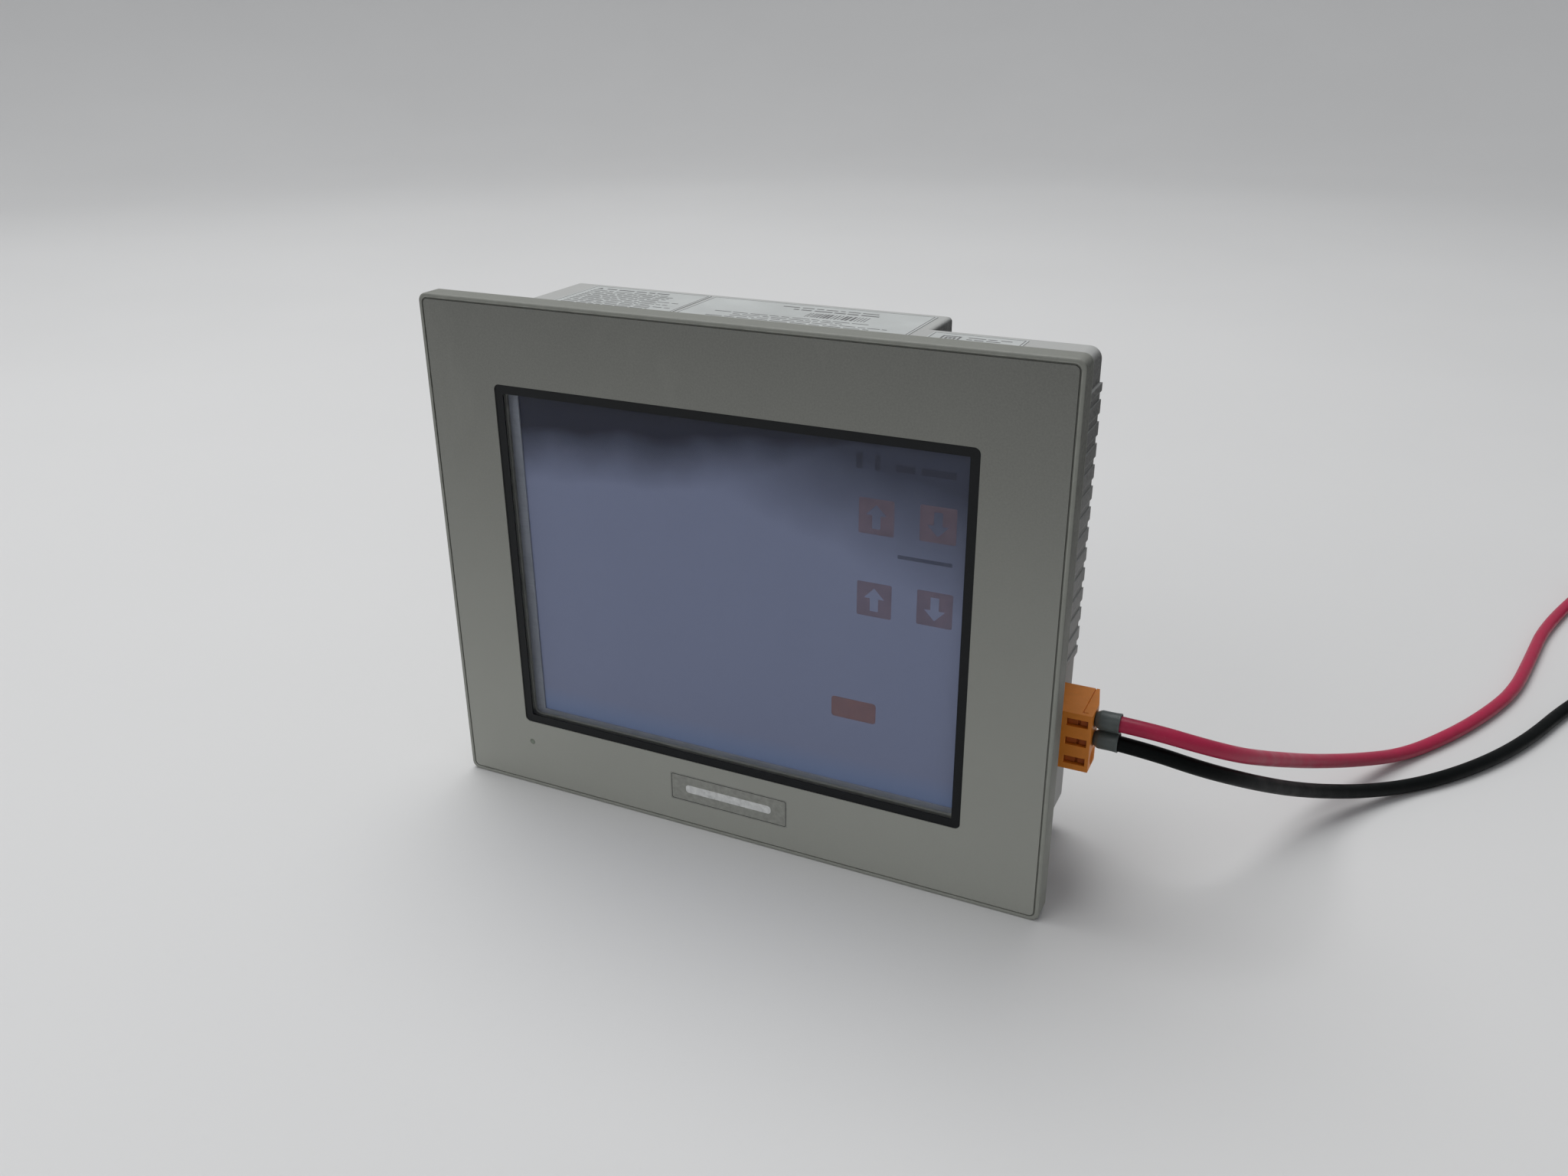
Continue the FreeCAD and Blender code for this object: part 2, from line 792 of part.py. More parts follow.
def make_plug():
    z0 = plug_top_z - plug_h
    grip = outline([
        V(plug_x0, plug_front_y, z0),
        V(plug_x1, plug_front_y, z0),
        V(plug_x1, plug_front_y + plug_slope_from, z0),
        V(plug_x1 - plug_slope_back, plug_back_y, z0),
        V(plug_x0, plug_back_y, z0),
    ], V(0, 0, 1), plug_h)
    insert = box(
        insert_x0, plug_x0 + 0.1, insert_y0, insert_y1,
        plug_z - insert_h / 2, plug_z + insert_h / 2,
    )
    cuts = []
    for i in range(poles):
        z = pole_z(i)
        cuts.append(box(
            button_x - button_w / 2 - button_play, button_x + button_w / 2 + button_play,
            plug_front_y - 1, button_y1 + button_travel + pocket_back,
            z - button_h / 2 - button_play, z + button_h / 2 + button_play,
        ))
        funnel = Part.makeCone(
            ferrule_pin_d / 2 + 0.2, funnel_r, funnel_deep,
            V(plug_x1 - funnel_deep, entry_y, z), V(1, 0, 0),
        )
        cuts.append(funnel)
        cuts.append(rod_x(
            entry_y, z, ferrule_pin_d / 2 + 0.1, plug_x1 - ferrule_pin_len - 0.2, plug_x1 + 1,
        ))
        cuts.append(box(
            insert_x0 - 1, insert_x0 + contact_from + contact_len + contact_play,
            contact_y - contact_w / 2 - contact_play, contact_y + contact_w / 2 + contact_play,
            z - contact_w / 2 - contact_play, z + contact_w / 2 + contact_play,
        ))
    # parting line of the clamp cap, and the step along the rear of the top
    cuts.append(box(
        parting_x, parting_x + parting_w, parting_y, plug_back_y + 1,
        plug_top_z - parting_deep, plug_top_z + 1,
    ))
    cuts.append(box(
        parting_x, parting_end, parting_y, parting_y + parting_w,
        plug_top_z - parting_deep, plug_top_z + 1,
    ))
    cuts.append(box(
        plug_x0 - 1, plug_x1 + 1, plug_back_y - lip_y, plug_back_y + 1,
        plug_top_z - lip_drop, plug_top_z + 1,
    ))
    return union([grip, insert]).cut(cuts)


def make_contacts():
    contacts = []
    for i in range(poles):
        z = pole_z(i)
        tube = box(
            insert_x0 + contact_from, insert_x0 + contact_from + contact_len,
            contact_y - contact_w / 2, contact_y + contact_w / 2,
            z - contact_w / 2, z + contact_w / 2,
        )
        half = pin_w / 2 + pin_play
        bore = box(
            insert_x0, insert_x0 + contact_bore_len, contact_y - half, contact_y + half, z - half, z + half,
        )
        contacts.append(tube.cut(bore))
    return Part.makeCompound(contacts)


def make_button(i):
    z = pole_z(i)
    body = box(
        button_x - button_w / 2, button_x + button_w / 2, button_y0, button_y1,
        z - button_h / 2, z + button_h / 2,
    )
    slit = box(
        button_x, button_x + button_slit, button_y0 - 1, button_y0 + button_slit_deep,
        z - button_h / 2 - 1, z + button_h / 2 + 1,
    )
    return body.cut(slit)


def ferrule_profile(collar_len, pin_len, collar_r, bore_from):
    # half section along +X from the collar's pin side, revolved about the X axis
    pin_r = ferrule_pin_d / 2
    end = collar_len
    points = [
        V(-pin_len, 0, 0),
        V(-pin_len, pin_r - pin_bevel, 0),
        V(-pin_len + pin_bevel, pin_r, 0),
        V(0, pin_r, 0),
        V(0, collar_r - collar_neck, 0),
        V(collar_taper, collar_r, 0),
        V(end, collar_r, 0),
        V(end, wire_r, 0),
        V(bore_from, wire_r, 0),
        V(bore_from, 0, 0),
    ]
    face = Part.Face(Part.makePolygon(points + [points[0]]))
    return face.revolve(V(0, 0, 0), V(1, 0, 0), 360)


def make_plug_ferrule(i):
    ferrule = ferrule_profile(ferrule_len, ferrule_pin_len, ferrule_d / 2, ferrule_bore_from)
    ferrule.translate(V(plug_x1, entry_y, pole_z(i)))
    return ferrule


save("power_header", make_header())
save("header_pins", make_header_pins())
save("plug_housing", make_plug())
save("plug_contacts", make_contacts())
for number in range(poles):
    save("release_button_" + str(number + 1), make_button(number))

# ---- wires ----
# Each leaves its ferrule along +X, sinks to the surface that the bezel's lower edge is level
# with, and runs back to a coil of the length that is put away.

surface = floor_z + wire_r
tube_start_x = plug_x1 + ferrule_bore_from
coil_mid_r = coil_mid_d / 2
layer_turns = coil_turns / 2
coil_outer_r = coil_mid_r + wire_d * layer_turns / 2
coil_inner_r = coil_mid_r - wire_d * layer_turns / 2

red_route = [
    V(tube_start_x, entry_y, pole_z(0)),
    V(101.5, 15.9, -22.9),
    V(112.5, 19.8, -26.2),
    V(120.5, 28.5, -31.5),
    V(125.5, 41.5, -38.2),
    V(130.0, 56.0, -45.5),
    V(136.0, 72.0, -53.2),
    V(147.0, 92.5, -61.4),
    V(159.5, 111.0, surface),
    V(171.5, 129.0, surface),
    V(181.0, 147.0, surface),
    V(189.5, 168.0, surface),
    V(194.8, 195.0, surface),
    V(200.3, 225.0, surface),
]
red_coil_at = V(240.0, 263.0, floor_z)

black_route = [
    V(tube_start_x, entry_y, pole_z(1)),
    V(101.5, 15.9, -28.4),
    V(112.5, 19.8, -32.3),
    V(121.0, 28.0, -37.6),
    V(127.0, 40.0, -44.6),
    V(132.5, 53.0, -51.8),
    V(139.0, 66.0, -58.3),
    V(149.0, 79.5, -63.6),
    V(160.5, 92.5, surface),
    V(172.5, 105.0, surface),
    V(184.0, 121.0, surface),
    V(193.5, 138.5, surface),
    V(202.5, 160.0, surface),
]
black_coil_at = V(239.0, 176.0, floor_z)


def coil_entry(last, centre):
    # the point where a straight run from the last route point touches the outer turn,
    # which turns clockwise seen from above
    dx = centre.x - last.x
    dy = centre.y - last.y
    reach = math.hypot(dx, dy)
    bearing = math.atan2(dy, dx)
    lean = math.asin(coil_outer_r / reach)
    heading = bearing + lean
    run = math.sqrt(reach * reach - coil_outer_r * coil_outer_r)
    return V(last.x + run * math.cos(heading), last.y + run * math.sin(heading), surface)


def bent_tube(points, r):
    # straight runs joined by tangent arcs, each arc a share of its shorter run
    edges = []
    radii = []
    start = points[0]
    for before, corner, after in zip(points, points[1:], points[2:]):
        into = corner - before
        out = after - corner
        shorter = min(into.Length, out.Length)
        half_turn = into.getAngle(out) / 2
        cut = arc_share * shorter
        into.normalize()
        out.normalize()
        arc_in = corner - into * cut
        arc_out = corner + out * cut
        bisector = out - into
        bisector.normalize()
        radius = cut / math.tan(half_turn)
        radii.append(round(radius, 1))
        centre = corner + bisector * (radius / math.cos(half_turn))
        middle = centre - bisector * radius
        edges.append(Part.LineSegment(start, arc_in).toShape())
        edges.append(Part.Arc(arc_in, middle, arc_out).toShape())
        start = arc_out
    edges.append(Part.LineSegment(start, points[-1]).toShape())
    path = Part.Wire(edges)
    first = points[1] - points[0]
    ring = Part.Wire([Part.Circle(points[0], first, r).toShape()])
    tube = path.makePipeShell([ring], True, False)
    return tube, path.Length, radii


def make_wire(name, route, centre):
    entry = coil_entry(route[-1], centre)
    tube, length, radii = bent_tube(route + [entry], wire_r)
    full = math.pi * wire_r * wire_r * length
    print(name, "length", round(length, 1), "radii", radii, "fill", round(tube.Volume / full, 4))
    return tube


def make_coil(centre):
    outer = Part.makeCylinder(coil_outer_r + wire_r, 2 * wire_d, centre)
    inner = Part.makeCylinder(coil_inner_r - wire_r, 2 * wire_d + 2, centre - V(0, 0, 1))
    return outer.cut(inner)


def make_end_ferrule(route, centre):
    # lies off the coil's upper layer, tangent to its last turn, and dips to the surface
    entry = coil_entry(route[-1], centre)
    first = math.atan2(entry.y - centre.y, entry.x - centre.x)
    last = first - 2 * math.pi * coil_turns
    heading = V(math.sin(last), -math.cos(last), 0)
    off = V(math.cos(last), math.sin(last), 0) * coil_outer_r + V(centre.x, centre.y, surface + wire_d)
    ferrule = ferrule_profile(end_collar_len, end_pin_len, ferrule_d / 2, end_bore_from)
    fall = wire_d + wire_r - ferrule_pin_d / 2
    drop = math.degrees(math.asin(fall / (end_lead + end_collar_len + end_pin_len)))
    # the collar's mouth faces the coil, and the pin points away from it
    ferrule.translate(V(-end_lead - end_collar_len, 0, 0))
    ferrule.rotate(V(0, 0, 0), V(0, 1, 0), -drop)
    ferrule.rotate(V(0, 0, 0), V(0, 0, 1), math.degrees(math.atan2(-heading.y, -heading.x)))
    ferrule.translate(off)
    return ferrule


save("red_ferrule", make_plug_ferrule(0))
save("black_ferrule", make_plug_ferrule(1))
save("red_wire", make_wire("red_wire", red_route, red_coil_at))
save("black_wire", make_wire("black_wire", black_route, black_coil_at))
save("red_coil", make_coil(red_coil_at))
save("black_coil", make_coil(black_coil_at))
save("red_end_ferrule", make_end_ferrule(red_route, red_coil_at))
save("black_end_ferrule", make_end_ferrule(black_route, black_coil_at))

# ---- rear case ----
# A stepped shell: deep on the left, shallow where the power inlet is.


def stepped(inset, y0, floor):
    r = max(case_r - inset, case_inner_r)
    w = body_w - 2 * inset
    h = body_h - 2 * inset
    shallow = slab(w, h, r, y0, shallow_depth - floor)
    deep = slab(w, h, r, y0, deep_depth - floor)
    keep = box(-body_w, step_x - inset, y0 - 1, deep_depth + 1, -body_h, body_h)
    return shallow, deep.common(keep)


def case_shell():
    shallow, deep = stepped(0, 0, 0)
    rear = deep_depth
    rim_edges = []
    for e in deep.Edges:
        b = e.BoundBox
        flat = abs(b.YMin - rear) < 1e-6 and abs(b.YMax - rear) < 1e-6
        upright = b.YLength > 10 and abs(b.XMin - step_x) < 1e-6 and abs(b.XMax - step_x) < 1e-6
        if flat or upright:
            rim_edges.append(e)
    deep = deep.makeFillet(case_edge_r, rim_edges)
    shallow = round_face_edges(shallow, shallow_depth, case_edge_r)
    outer = union([shallow, deep])
    in_shallow, in_deep = stepped(wall, -1, wall)
    pad = box(
        side_x - wall / 2, side_x + vent_pad, vent_start_y - vent_pad_past, shallow_depth - case_edge_r,
        vent_top_z - (vent_count - 1) * vent_pitch - vent_pad_past, vent_top_z + vent_pad_past,
    )
    return union([outer.cut(union([in_shallow, in_deep])), pad])


def side_vents():
    cuts = []
    for i in range(vent_count):
        z = vent_top_z - i * vent_pitch
        cuts.append(box(
            side_x - wall - 0.5, side_x + 1, vent_start_y, shallow_depth + 1,
            z - vent_w / 2, z + vent_w / 2,
        ))
        cuts.append(box(
            side_x - vent_wrap, side_x + 1, shallow_depth - wall - 0.5, shallow_depth + 1,
            z - vent_w / 2, z + vent_w / 2,
        ))
    return cuts


def rear_vents():
    # two columns of slots in the rear wall of the deep block
    cuts = []
    for column in (0, 1):
        x = step_x - rear_vent_in - rear_vent_len - column * (rear_vent_len + rear_vent_gap)
        for i in range(rear_vent_rows):
            z = top_z - rear_vent_down - i * vent_pitch
            cuts.append(box(
                x, x + rear_vent_len, deep_depth - wall - 0.5, deep_depth + 1,
                z - vent_w / 2, z + vent_w / 2,
            ))
    return cuts


def clip_slots():
    cuts = []
    for side in (-1, 1):
        for up in (-1, 1):
            z = up * (top_z - wall / 2)
            cuts.append(box(
                side * clip_x - clip_slot_w / 2, side * clip_x + clip_slot_w / 2,
                clip_from_y, clip_from_y + clip_slot_y, z - wall, z + wall,
            ))
    return cuts


def screw_place(x, up):
    # the left screws hold the deep block, the right ones the shallow block
    depth = deep_depth if x < step_x else shallow_depth
    return V(x, depth, up * screw_z)


head_r = 2.8
head_t = 1.9
head_seat = 1.4
shank_r = 1.5
shank_len = 8.0
shank_play = 0.2
head_play = 0.3
boss_wall = 1.6
boss_in = 1.2
drive_len = 3.6
drive_w = 0.7
drive_deep = 0.9
spacer_gap = 0.1
spacer_play = 0.05


def screw_cuts():
    cuts = []
    for x, up in screw_spots:
        at = screw_place(x, up)
        cuts.append(rod_y(at.x, at.z, shank_r + shank_play, at.y - wall - 4, at.y + 1))
        cuts.append(rod_y(at.x, at.z, head_r + head_play, at.y - head_seat, at.y + 1))
    return cuts


def screw_bosses():
    bosses = []
    for x, up in screw_spots:
        at = screw_place(x, up)
        bosses.append(rod_y(at.x, at.z, head_r + boss_wall, at.y - wall - boss_in, at.y - wall / 2))
    return bosses


def make_case():
    body = union([case_shell(), bay_block()] + screw_bosses())
    header_hole = box(
        side_x - wall - 1, side_x + 1, power_board_y + board_t - 0.1, header_y1 + 0.1,
        plug_z - header_h / 2 - 0.1, plug_z + header_h / 2 + 0.1,
    )
    cuts = [header_hole] + bay_cuts() + port_cuts() + side_vents() + rear_vents()
    cuts += clip_slots() + screw_cuts()
    return body.cut(cuts)


save("rear_case", make_case())

# ---- boards, plate and fasteners inside ----

inner_x = side_x - wall
inner_z = top_z - wall
spacer_r = 2.7
spacer_clear = 0.8
plate_play = 1.0
ribbon_x = 3.0
ribbon_w = 24.0
ribbon_z = 26.0
ribbon_t = 0.35
hole_side = 3.0


def make_chassis():
    plate = box(
        -inner_x + plate_play, inner_x - plate_play, chassis_y, chassis_y + chassis_t,
        -inner_z + plate_play, inner_z - plate_play,
    )
    cable_hole = box(
        ribbon_x - ribbon_w / 2 - hole_side, ribbon_x + ribbon_w / 2 + hole_side,
        chassis_y - 1, chassis_y + chassis_t + 1, ribbon_z - 2 * hole_side, ribbon_z + 2 * hole_side,
    )
    return plate.cut(cable_hole)


def make_screws():
    screws = []
    for x, up in screw_spots:
        at = screw_place(x, up)
        seat = at.y - head_seat
        head = rod_y(at.x, at.z, head_r, seat, seat + head_t)
        shank = rod_y(at.x, at.z, shank_r, seat - shank_len, seat)
        screw = union([head, shank])
        y0 = seat + head_t - drive_deep
        y1 = seat + head_t + 1
        a = drive_len / 2
        b = drive_w / 2
        across = box(at.x - a, at.x + a, y0, y1, at.z - b, at.z + b)
        upright = box(at.x - b, at.x + b, y0, y1, at.z - a, at.z + a)
        screws.append(screw.cut([across, upright]))
    return Part.makeCompound(screws)


def make_spacers():
    spacers = []
    for x, up in screw_spots:
        at = screw_place(x, up)
        top = at.y - wall - boss_in - spacer_gap
        post = rod_y(at.x, at.z, spacer_r, chassis_y + chassis_t, top)
        spacers.append(post.cut(rod_y(at.x, at.z, shank_r + spacer_play, top - shank_len, top + 1)))
    return Part.makeCompound(spacers)


edge_play = 0.2
edge_in = 1.0
main_x0 = -inner_x + board_play
main_x1 = step_x - wall - step_gap
main_z0 = bottom_z + wall + edge_play
main_z1 = inner_z - board_play
power_x0 = step_x + edge_in
power_x1 = inner_x - board_play
power_z0 = -inner_z + board_play
power_z1 = inner_z - board_play
post_r = 2.2


def corner_notches(y0, y1):
    # square notches that clear the case spacers in the corners
    clear = spacer_r + spacer_clear
    notches = []
    for x, up in screw_spots:
        near_x = x - clear if x > 0 else x + clear
        near_z = up * screw_z - up * clear
        far_x = body_w if x > 0 else -body_w
        far_z = up * body_h
        notches.append(box(
            min(near_x, far_x), max(near_x, far_x), y0 - 1, y1 + 1,
            min(near_z, far_z), max(near_z, far_z),
        ))
    return notches


def make_main_board():
    board = box(main_x0, main_x1, main_board_y, board_rear, main_z0, main_z1)
    return board.cut(corner_notches(main_board_y, board_rear))


def make_power_board():
    y1 = power_board_y + board_t
    board = box(power_x0, power_x1, power_board_y, y1, power_z0, power_z1)
    return board.cut(corner_notches(power_board_y, y1))


post_left = 18.0
post_low = 24.0
post_in = 8.0
power_post_in = 22.0
sink_size = 30.0
sink_x = main_x1 - 62.8
sink_z = -18.0
chip_in = 6.0
chip_t = 2.0
sink_base_t = 2.0
fin_count = 8
fin_t = 1.2
fin_in = 0.4
fin_h = 5.0
can_len = 20.0
can_pitch = 13.5
can_down = 14.0
cans = [(6.25, 9.0), (5.0, 22.0), (5.0, 22.0)]
core_x = power_x0 + 10.0
core_z = 6.0
core_r = 7.0
core_bore = 2.6
core_h = 9.0
holder_x = main_x1 - 18.0
holder_z = -20.0
holder_r = 11.5
holder_t = 1.6
cell_r = 10.0
battery_t = 3.2


def make_standoffs():
    posts = []
    for x in (main_x0 + post_left, main_x1 - post_in):
        for z in (main_z0 + post_low, main_z1 - post_in):
            posts.append(rod_y(x, z, post_r, chassis_y + chassis_t, main_board_y))
    for z in (power_z0 + power_post_in, power_z1 - power_post_in):
        x = (power_x0 + power_x1) / 2
        posts.append(rod_y(x, z, post_r, chassis_y + chassis_t, power_board_y))
    return Part.makeCompound(posts)


def make_heat_spreader():
    x0 = sink_x
    x1 = sink_x + sink_size
    z0 = sink_z
    z1 = sink_z + sink_size
    y0 = board_rear + chip_t
    y1 = y0 + sink_base_t
    base = box(x0, x1, y0, y1, z0, z1)
    chip = box(x0 + chip_in, x1 - chip_in, board_rear, y0, z0 + chip_in, z1 - chip_in)
    fins = []
    pitch = (sink_size - 2 * fin_in - fin_t) / (fin_count - 1)
    for i in range(fin_count):
        x = x0 + fin_in + i * pitch
        fins.append(box(x, x + fin_t, y1 - 0.1, y1 + fin_h, z0, z1))
    return union([base, chip] + fins)


def make_capacitors():
    y0 = power_board_y + board_t
    whole = []
    z = power_z1 - can_down
    for r, in_x in cans:
        whole.append(rod_y(power_x0 + in_x, z, r, y0, y0 + can_len))
        z -= can_pitch
    return Part.makeCompound(whole)


def make_inductor():
    y0 = power_board_y + board_t
    core = rod_y(core_x, core_z, core_r, y0, y0 + core_h)
    return core.cut(rod_y(core_x, core_z, core_bore, y0 - 1, y0 + core_h + 1))


def make_ribbon():
    # flat cable from the display's back through the plate to the main board
    x0 = ribbon_x - ribbon_w / 2
    z = ribbon_z
    run = [
        V(x0, lcd_back, z - 1), V(x0, lcd_back + ribbon_t, z - 1), V(x0, lcd_back + ribbon_t, z),
        V(x0, main_board_y, z), V(x0, main_board_y, z + ribbon_t), V(x0, lcd_back, z + ribbon_t),
    ]
    return outline(run, V(1, 0, 0), ribbon_w)


def make_battery():
    y1 = board_rear + holder_t
    holder = rod_y(holder_x, holder_z, holder_r, board_rear, y1)
    cell = rod_y(holder_x, holder_z, cell_r, y1, y1 + battery_t)
    return union([holder, cell])


save("chassis_plate", make_chassis())
save("case_screws", make_screws())
save("case_spacers", make_spacers())
save("main_board", make_main_board())
save("power_board", make_power_board())
save("board_standoffs", make_standoffs())
save("heat_spreader", make_heat_spreader())
save("filter_capacitors", make_capacitors())
save("power_inductor", make_inductor())
save("display_ribbon", make_ribbon())
save("clock_battery", make_battery())

# ---- labels on the top wall ----

label_t = 0.15
label_y0 = 14.0
label_edge = 3.0
caution_x0 = -68.0
caution_x1 = -31.5
label_gap = 1.0
rating_x1 = step_x - label_edge
serial_x0 = step_x + 1.5
serial_x1 = step_x + 24.8


def make_label(x0, x1, y1):
    return box(x0, x1, label_y0, y1, top_z, top_z + label_t)


save("caution_label", make_label(caution_x0, caution_x1, deep_depth - label_edge))
save("rating_label", make_label(caution_x1 + label_gap, rating_x1, deep_depth - label_edge))
save("serial_label", make_label(serial_x0, serial_x1, shallow_depth - label_edge))
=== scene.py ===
import math
import random

import bmesh
import bpy
from mathutils import Matrix, Vector


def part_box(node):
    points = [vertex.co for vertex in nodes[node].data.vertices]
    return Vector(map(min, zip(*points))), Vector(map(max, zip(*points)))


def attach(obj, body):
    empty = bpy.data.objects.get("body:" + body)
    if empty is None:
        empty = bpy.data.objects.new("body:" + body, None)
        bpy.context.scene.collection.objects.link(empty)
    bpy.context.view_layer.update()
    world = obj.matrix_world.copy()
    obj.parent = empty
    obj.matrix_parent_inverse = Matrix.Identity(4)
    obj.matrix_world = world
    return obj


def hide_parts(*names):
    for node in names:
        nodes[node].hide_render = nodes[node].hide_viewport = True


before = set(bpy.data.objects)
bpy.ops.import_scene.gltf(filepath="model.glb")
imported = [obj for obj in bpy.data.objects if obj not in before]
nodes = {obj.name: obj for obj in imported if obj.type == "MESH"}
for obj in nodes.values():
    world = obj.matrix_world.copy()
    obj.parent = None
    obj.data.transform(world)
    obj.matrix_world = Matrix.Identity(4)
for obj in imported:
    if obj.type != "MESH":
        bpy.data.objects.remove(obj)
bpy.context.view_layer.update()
mm = 0.001
print("panel frame loaded,", len(nodes), "nodes")

# camera: stands a little above the panel, off its right side
shot = {
    "lens": 30.117,
    "place": (0.13991, -0.26204, 0.13236),
    "right": (0.90233, 0.43100, -0.00595),
    "up": (-0.16924, 0.36696, 0.91471),
    "back": (0.39642, -0.82437, 0.40406),
}


def placeCamera():
    cam = bpy.data.cameras.new("panelCamera")
    cam.lens = shot["lens"]
    cam.sensor_width = 36
    camObject = bpy.data.objects.new("panelCamera", cam)
    bpy.context.scene.collection.objects.link(camObject)
    turn = Matrix((shot["right"], shot["up"], shot["back"])).transposed()
    camObject.matrix_world = Matrix.Translation(shot["place"]) @ turn.to_4x4()
    bpy.context.scene.camera = camObject


placeCamera()
print("camera placed")

# the two supply wires, each one piece from its sleeve in the plug to the sleeve on its far end
wire = {
    "diameter": 3.9 * mm,
    "floor": -68.5 * mm,
    "turns": 3.43,
    "coilMiddle": 42.9 * mm,  # across the middle of the turns
    "perTurn": 18,  # points on each turn
    "swell": 1.010,  # points stand off a little, because the line runs inside them
    "rise": 0.16,  # share of a turn that climbs to the upper layer
    "endRun": 10.0 * mm,  # bare wire between the coil and the end sleeve
    "endFirst": 6.0 * mm,  # first point of that run
    "endTuck": 2.5 * mm,  # how far the wire goes into the end sleeve
    "endSleeve": 9.0 * mm,
    "endPin": 12.0 * mm,
    "endPinRadius": 1.2 * mm,
}
wireRest = wire["floor"] + wire["diameter"] / 2
coilOuter = wire["coilMiddle"] / 2 + wire["diameter"] * wire["turns"] / 4
coilInner = wire["coilMiddle"] / 2 - wire["diameter"] * wire["turns"] / 4

redRoute = {
    "points": [
        (0.0900, 0.0156, -0.02254),
        (0.1015, 0.0159, -0.0229),
        (0.1125, 0.0198, -0.0262),
        (0.1205, 0.0285, -0.0315),
        (0.1255, 0.0415, -0.0382),
        (0.1300, 0.0560, -0.0455),
        (0.1360, 0.0720, -0.0532),
        (0.1470, 0.0925, -0.0614),
        (0.1595, 0.1110, wireRest),
        (0.1715, 0.1290, wireRest),
        (0.1810, 0.1470, wireRest),
        (0.1895, 0.1680, wireRest),
        (0.1948, 0.1950, wireRest),
        (0.2003, 0.2250, wireRest),
    ],
    "coilAt": (0.240, 0.263),
    "exit": (0.0944, 0.0156, -0.02254),
    "length": 0.778,
}
blackRoute = {
    "points": [
        (0.0900, 0.0156, -0.02762),
        (0.1015, 0.0159, -0.0284),
        (0.1125, 0.0198, -0.0323),
        (0.1210, 0.0280, -0.0376),
        (0.1270, 0.0400, -0.0446),
        (0.1325, 0.0530, -0.0518),
        (0.1390, 0.0660, -0.0583),
        (0.1490, 0.0795, -0.0636),
        (0.1605, 0.0925, wireRest),
        (0.1725, 0.1050, wireRest),
        (0.1840, 0.1210, wireRest),
        (0.1935, 0.1385, wireRest),
        (0.2025, 0.1600, wireRest),
    ],
    "coilAt": (0.239, 0.176),
    "exit": (0.0944, 0.0156, -0.02762),
    "length": 0.700,
}


def coilTouch(route):
    # where a straight line from the last route point meets the outer turn
    last = Vector(route["points"][-1])
    centre = Vector((*route["coilAt"], wireRest))
    span = (centre - last).length
    heading = math.atan2(centre.y - last.y, centre.x - last.x) + math.asin(coilOuter / span)
    run = math.sqrt(span ** 2 - coilOuter ** 2)
    return last + Vector((math.cos(heading), math.sin(heading), 0)) * run


def endAxis(route):
    # point and direction where the wire leaves the top of its coil
    touch = coilTouch(route)
    cx, cy = route["coilAt"]
    angle = math.atan2(touch.y - cy, touch.x - cx) - 2 * math.pi * wire["turns"]
    outward = Vector((math.cos(angle), math.sin(angle), 0))
    off = Vector((cx, cy, wireRest + wire["diameter"])) + outward * coilOuter
    fall = 1.5 * wire["diameter"] - wire["endPinRadius"]
    dip = math.asin(fall / (wire["endRun"] + wire["endSleeve"] + wire["endPin"]))
    level = math.cos(dip)
    heading = Vector((math.sin(angle) * level, -math.cos(angle) * level, -math.sin(dip)))
    return off, heading


def coilPoints(route):
    # winds inwards on the floor, climbs, and winds outwards on top, clockwise from above
    touch = coilTouch(route)
    cx, cy = route["coilAt"]
    first = math.atan2(touch.y - cy, touch.x - cx)
    half = wire["turns"] / 2
    count = round(wire["turns"] * wire["perTurn"])
    points = []
    for k in range(1, count):
        turned = wire["turns"] * k / count
        radius = coilOuter - wire["diameter"] * turned
        if turned > half:
            radius = coilInner + wire["diameter"] * (turned - half)
        climb = min(max((turned - half) / wire["rise"] + 0.5, 0), 1)
        z = wireRest + wire["diameter"] * (0.5 - 0.5 * math.cos(math.pi * climb))
        angle = first - 2 * math.pi * turned
        radius *= wire["swell"]
        points.append(Vector((cx + radius * math.cos(angle), cy + radius * math.sin(angle), z)))
    return points


def layWire(name, route):
    off, heading = endAxis(route)
    points = [Vector(p) for p in route["points"]] + [coilTouch(route)] + coilPoints(route)
    points += [off + heading * wire["endFirst"], off + heading * (wire["endRun"] + wire["endTuck"])]
    curve = bpy.data.curves.new(name, "CURVE")
    curve.dimensions = "3D"
    line = curve.splines.new("NURBS")
    line.points.add(len(points) - 1)
    for point, at in zip(line.points, points):
        point.co = (*at, 1)
    line.order_u = 3
    line.use_endpoint_u = True
    line.resolution_u = 8
    curve.bevel_depth = wire["diameter"] / 2
    curve.bevel_resolution = 6
    curve.use_fill_caps = True
    piece = bpy.data.objects.new(name, curve)
    bpy.context.scene.collection.objects.link(piece)
    return piece


redLead = layWire("redLead", redRoute)
blackLead = layWire("blackLead", blackRoute)
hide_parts("red_wire", "red_coil")
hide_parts("black_wire", "black_coil")
print("wires laid")

# studio: a pale floor that curves up all round, and soft lamps
studio = {
    "floorFlat": 1.5,
    "wallReach": 3.0,
    "wallHeight": 1.7,
    "floorColour": (0.64, 0.64, 0.635),
    "skyColour": (0.93, 0.95, 1.0),
    "skyStrength": 0.36,
    "lamps": [
        # name, place, aim, size, watts
        ("overheadLamp", (-0.50, 0.38, 1.80), (0.05, 0.05, 0.0), 1.6, 27),
        ("frontFill", (-0.70, -1.30, 0.95), (0.0, -0.1, -0.05), 1.2, 5.5),
    ],
}


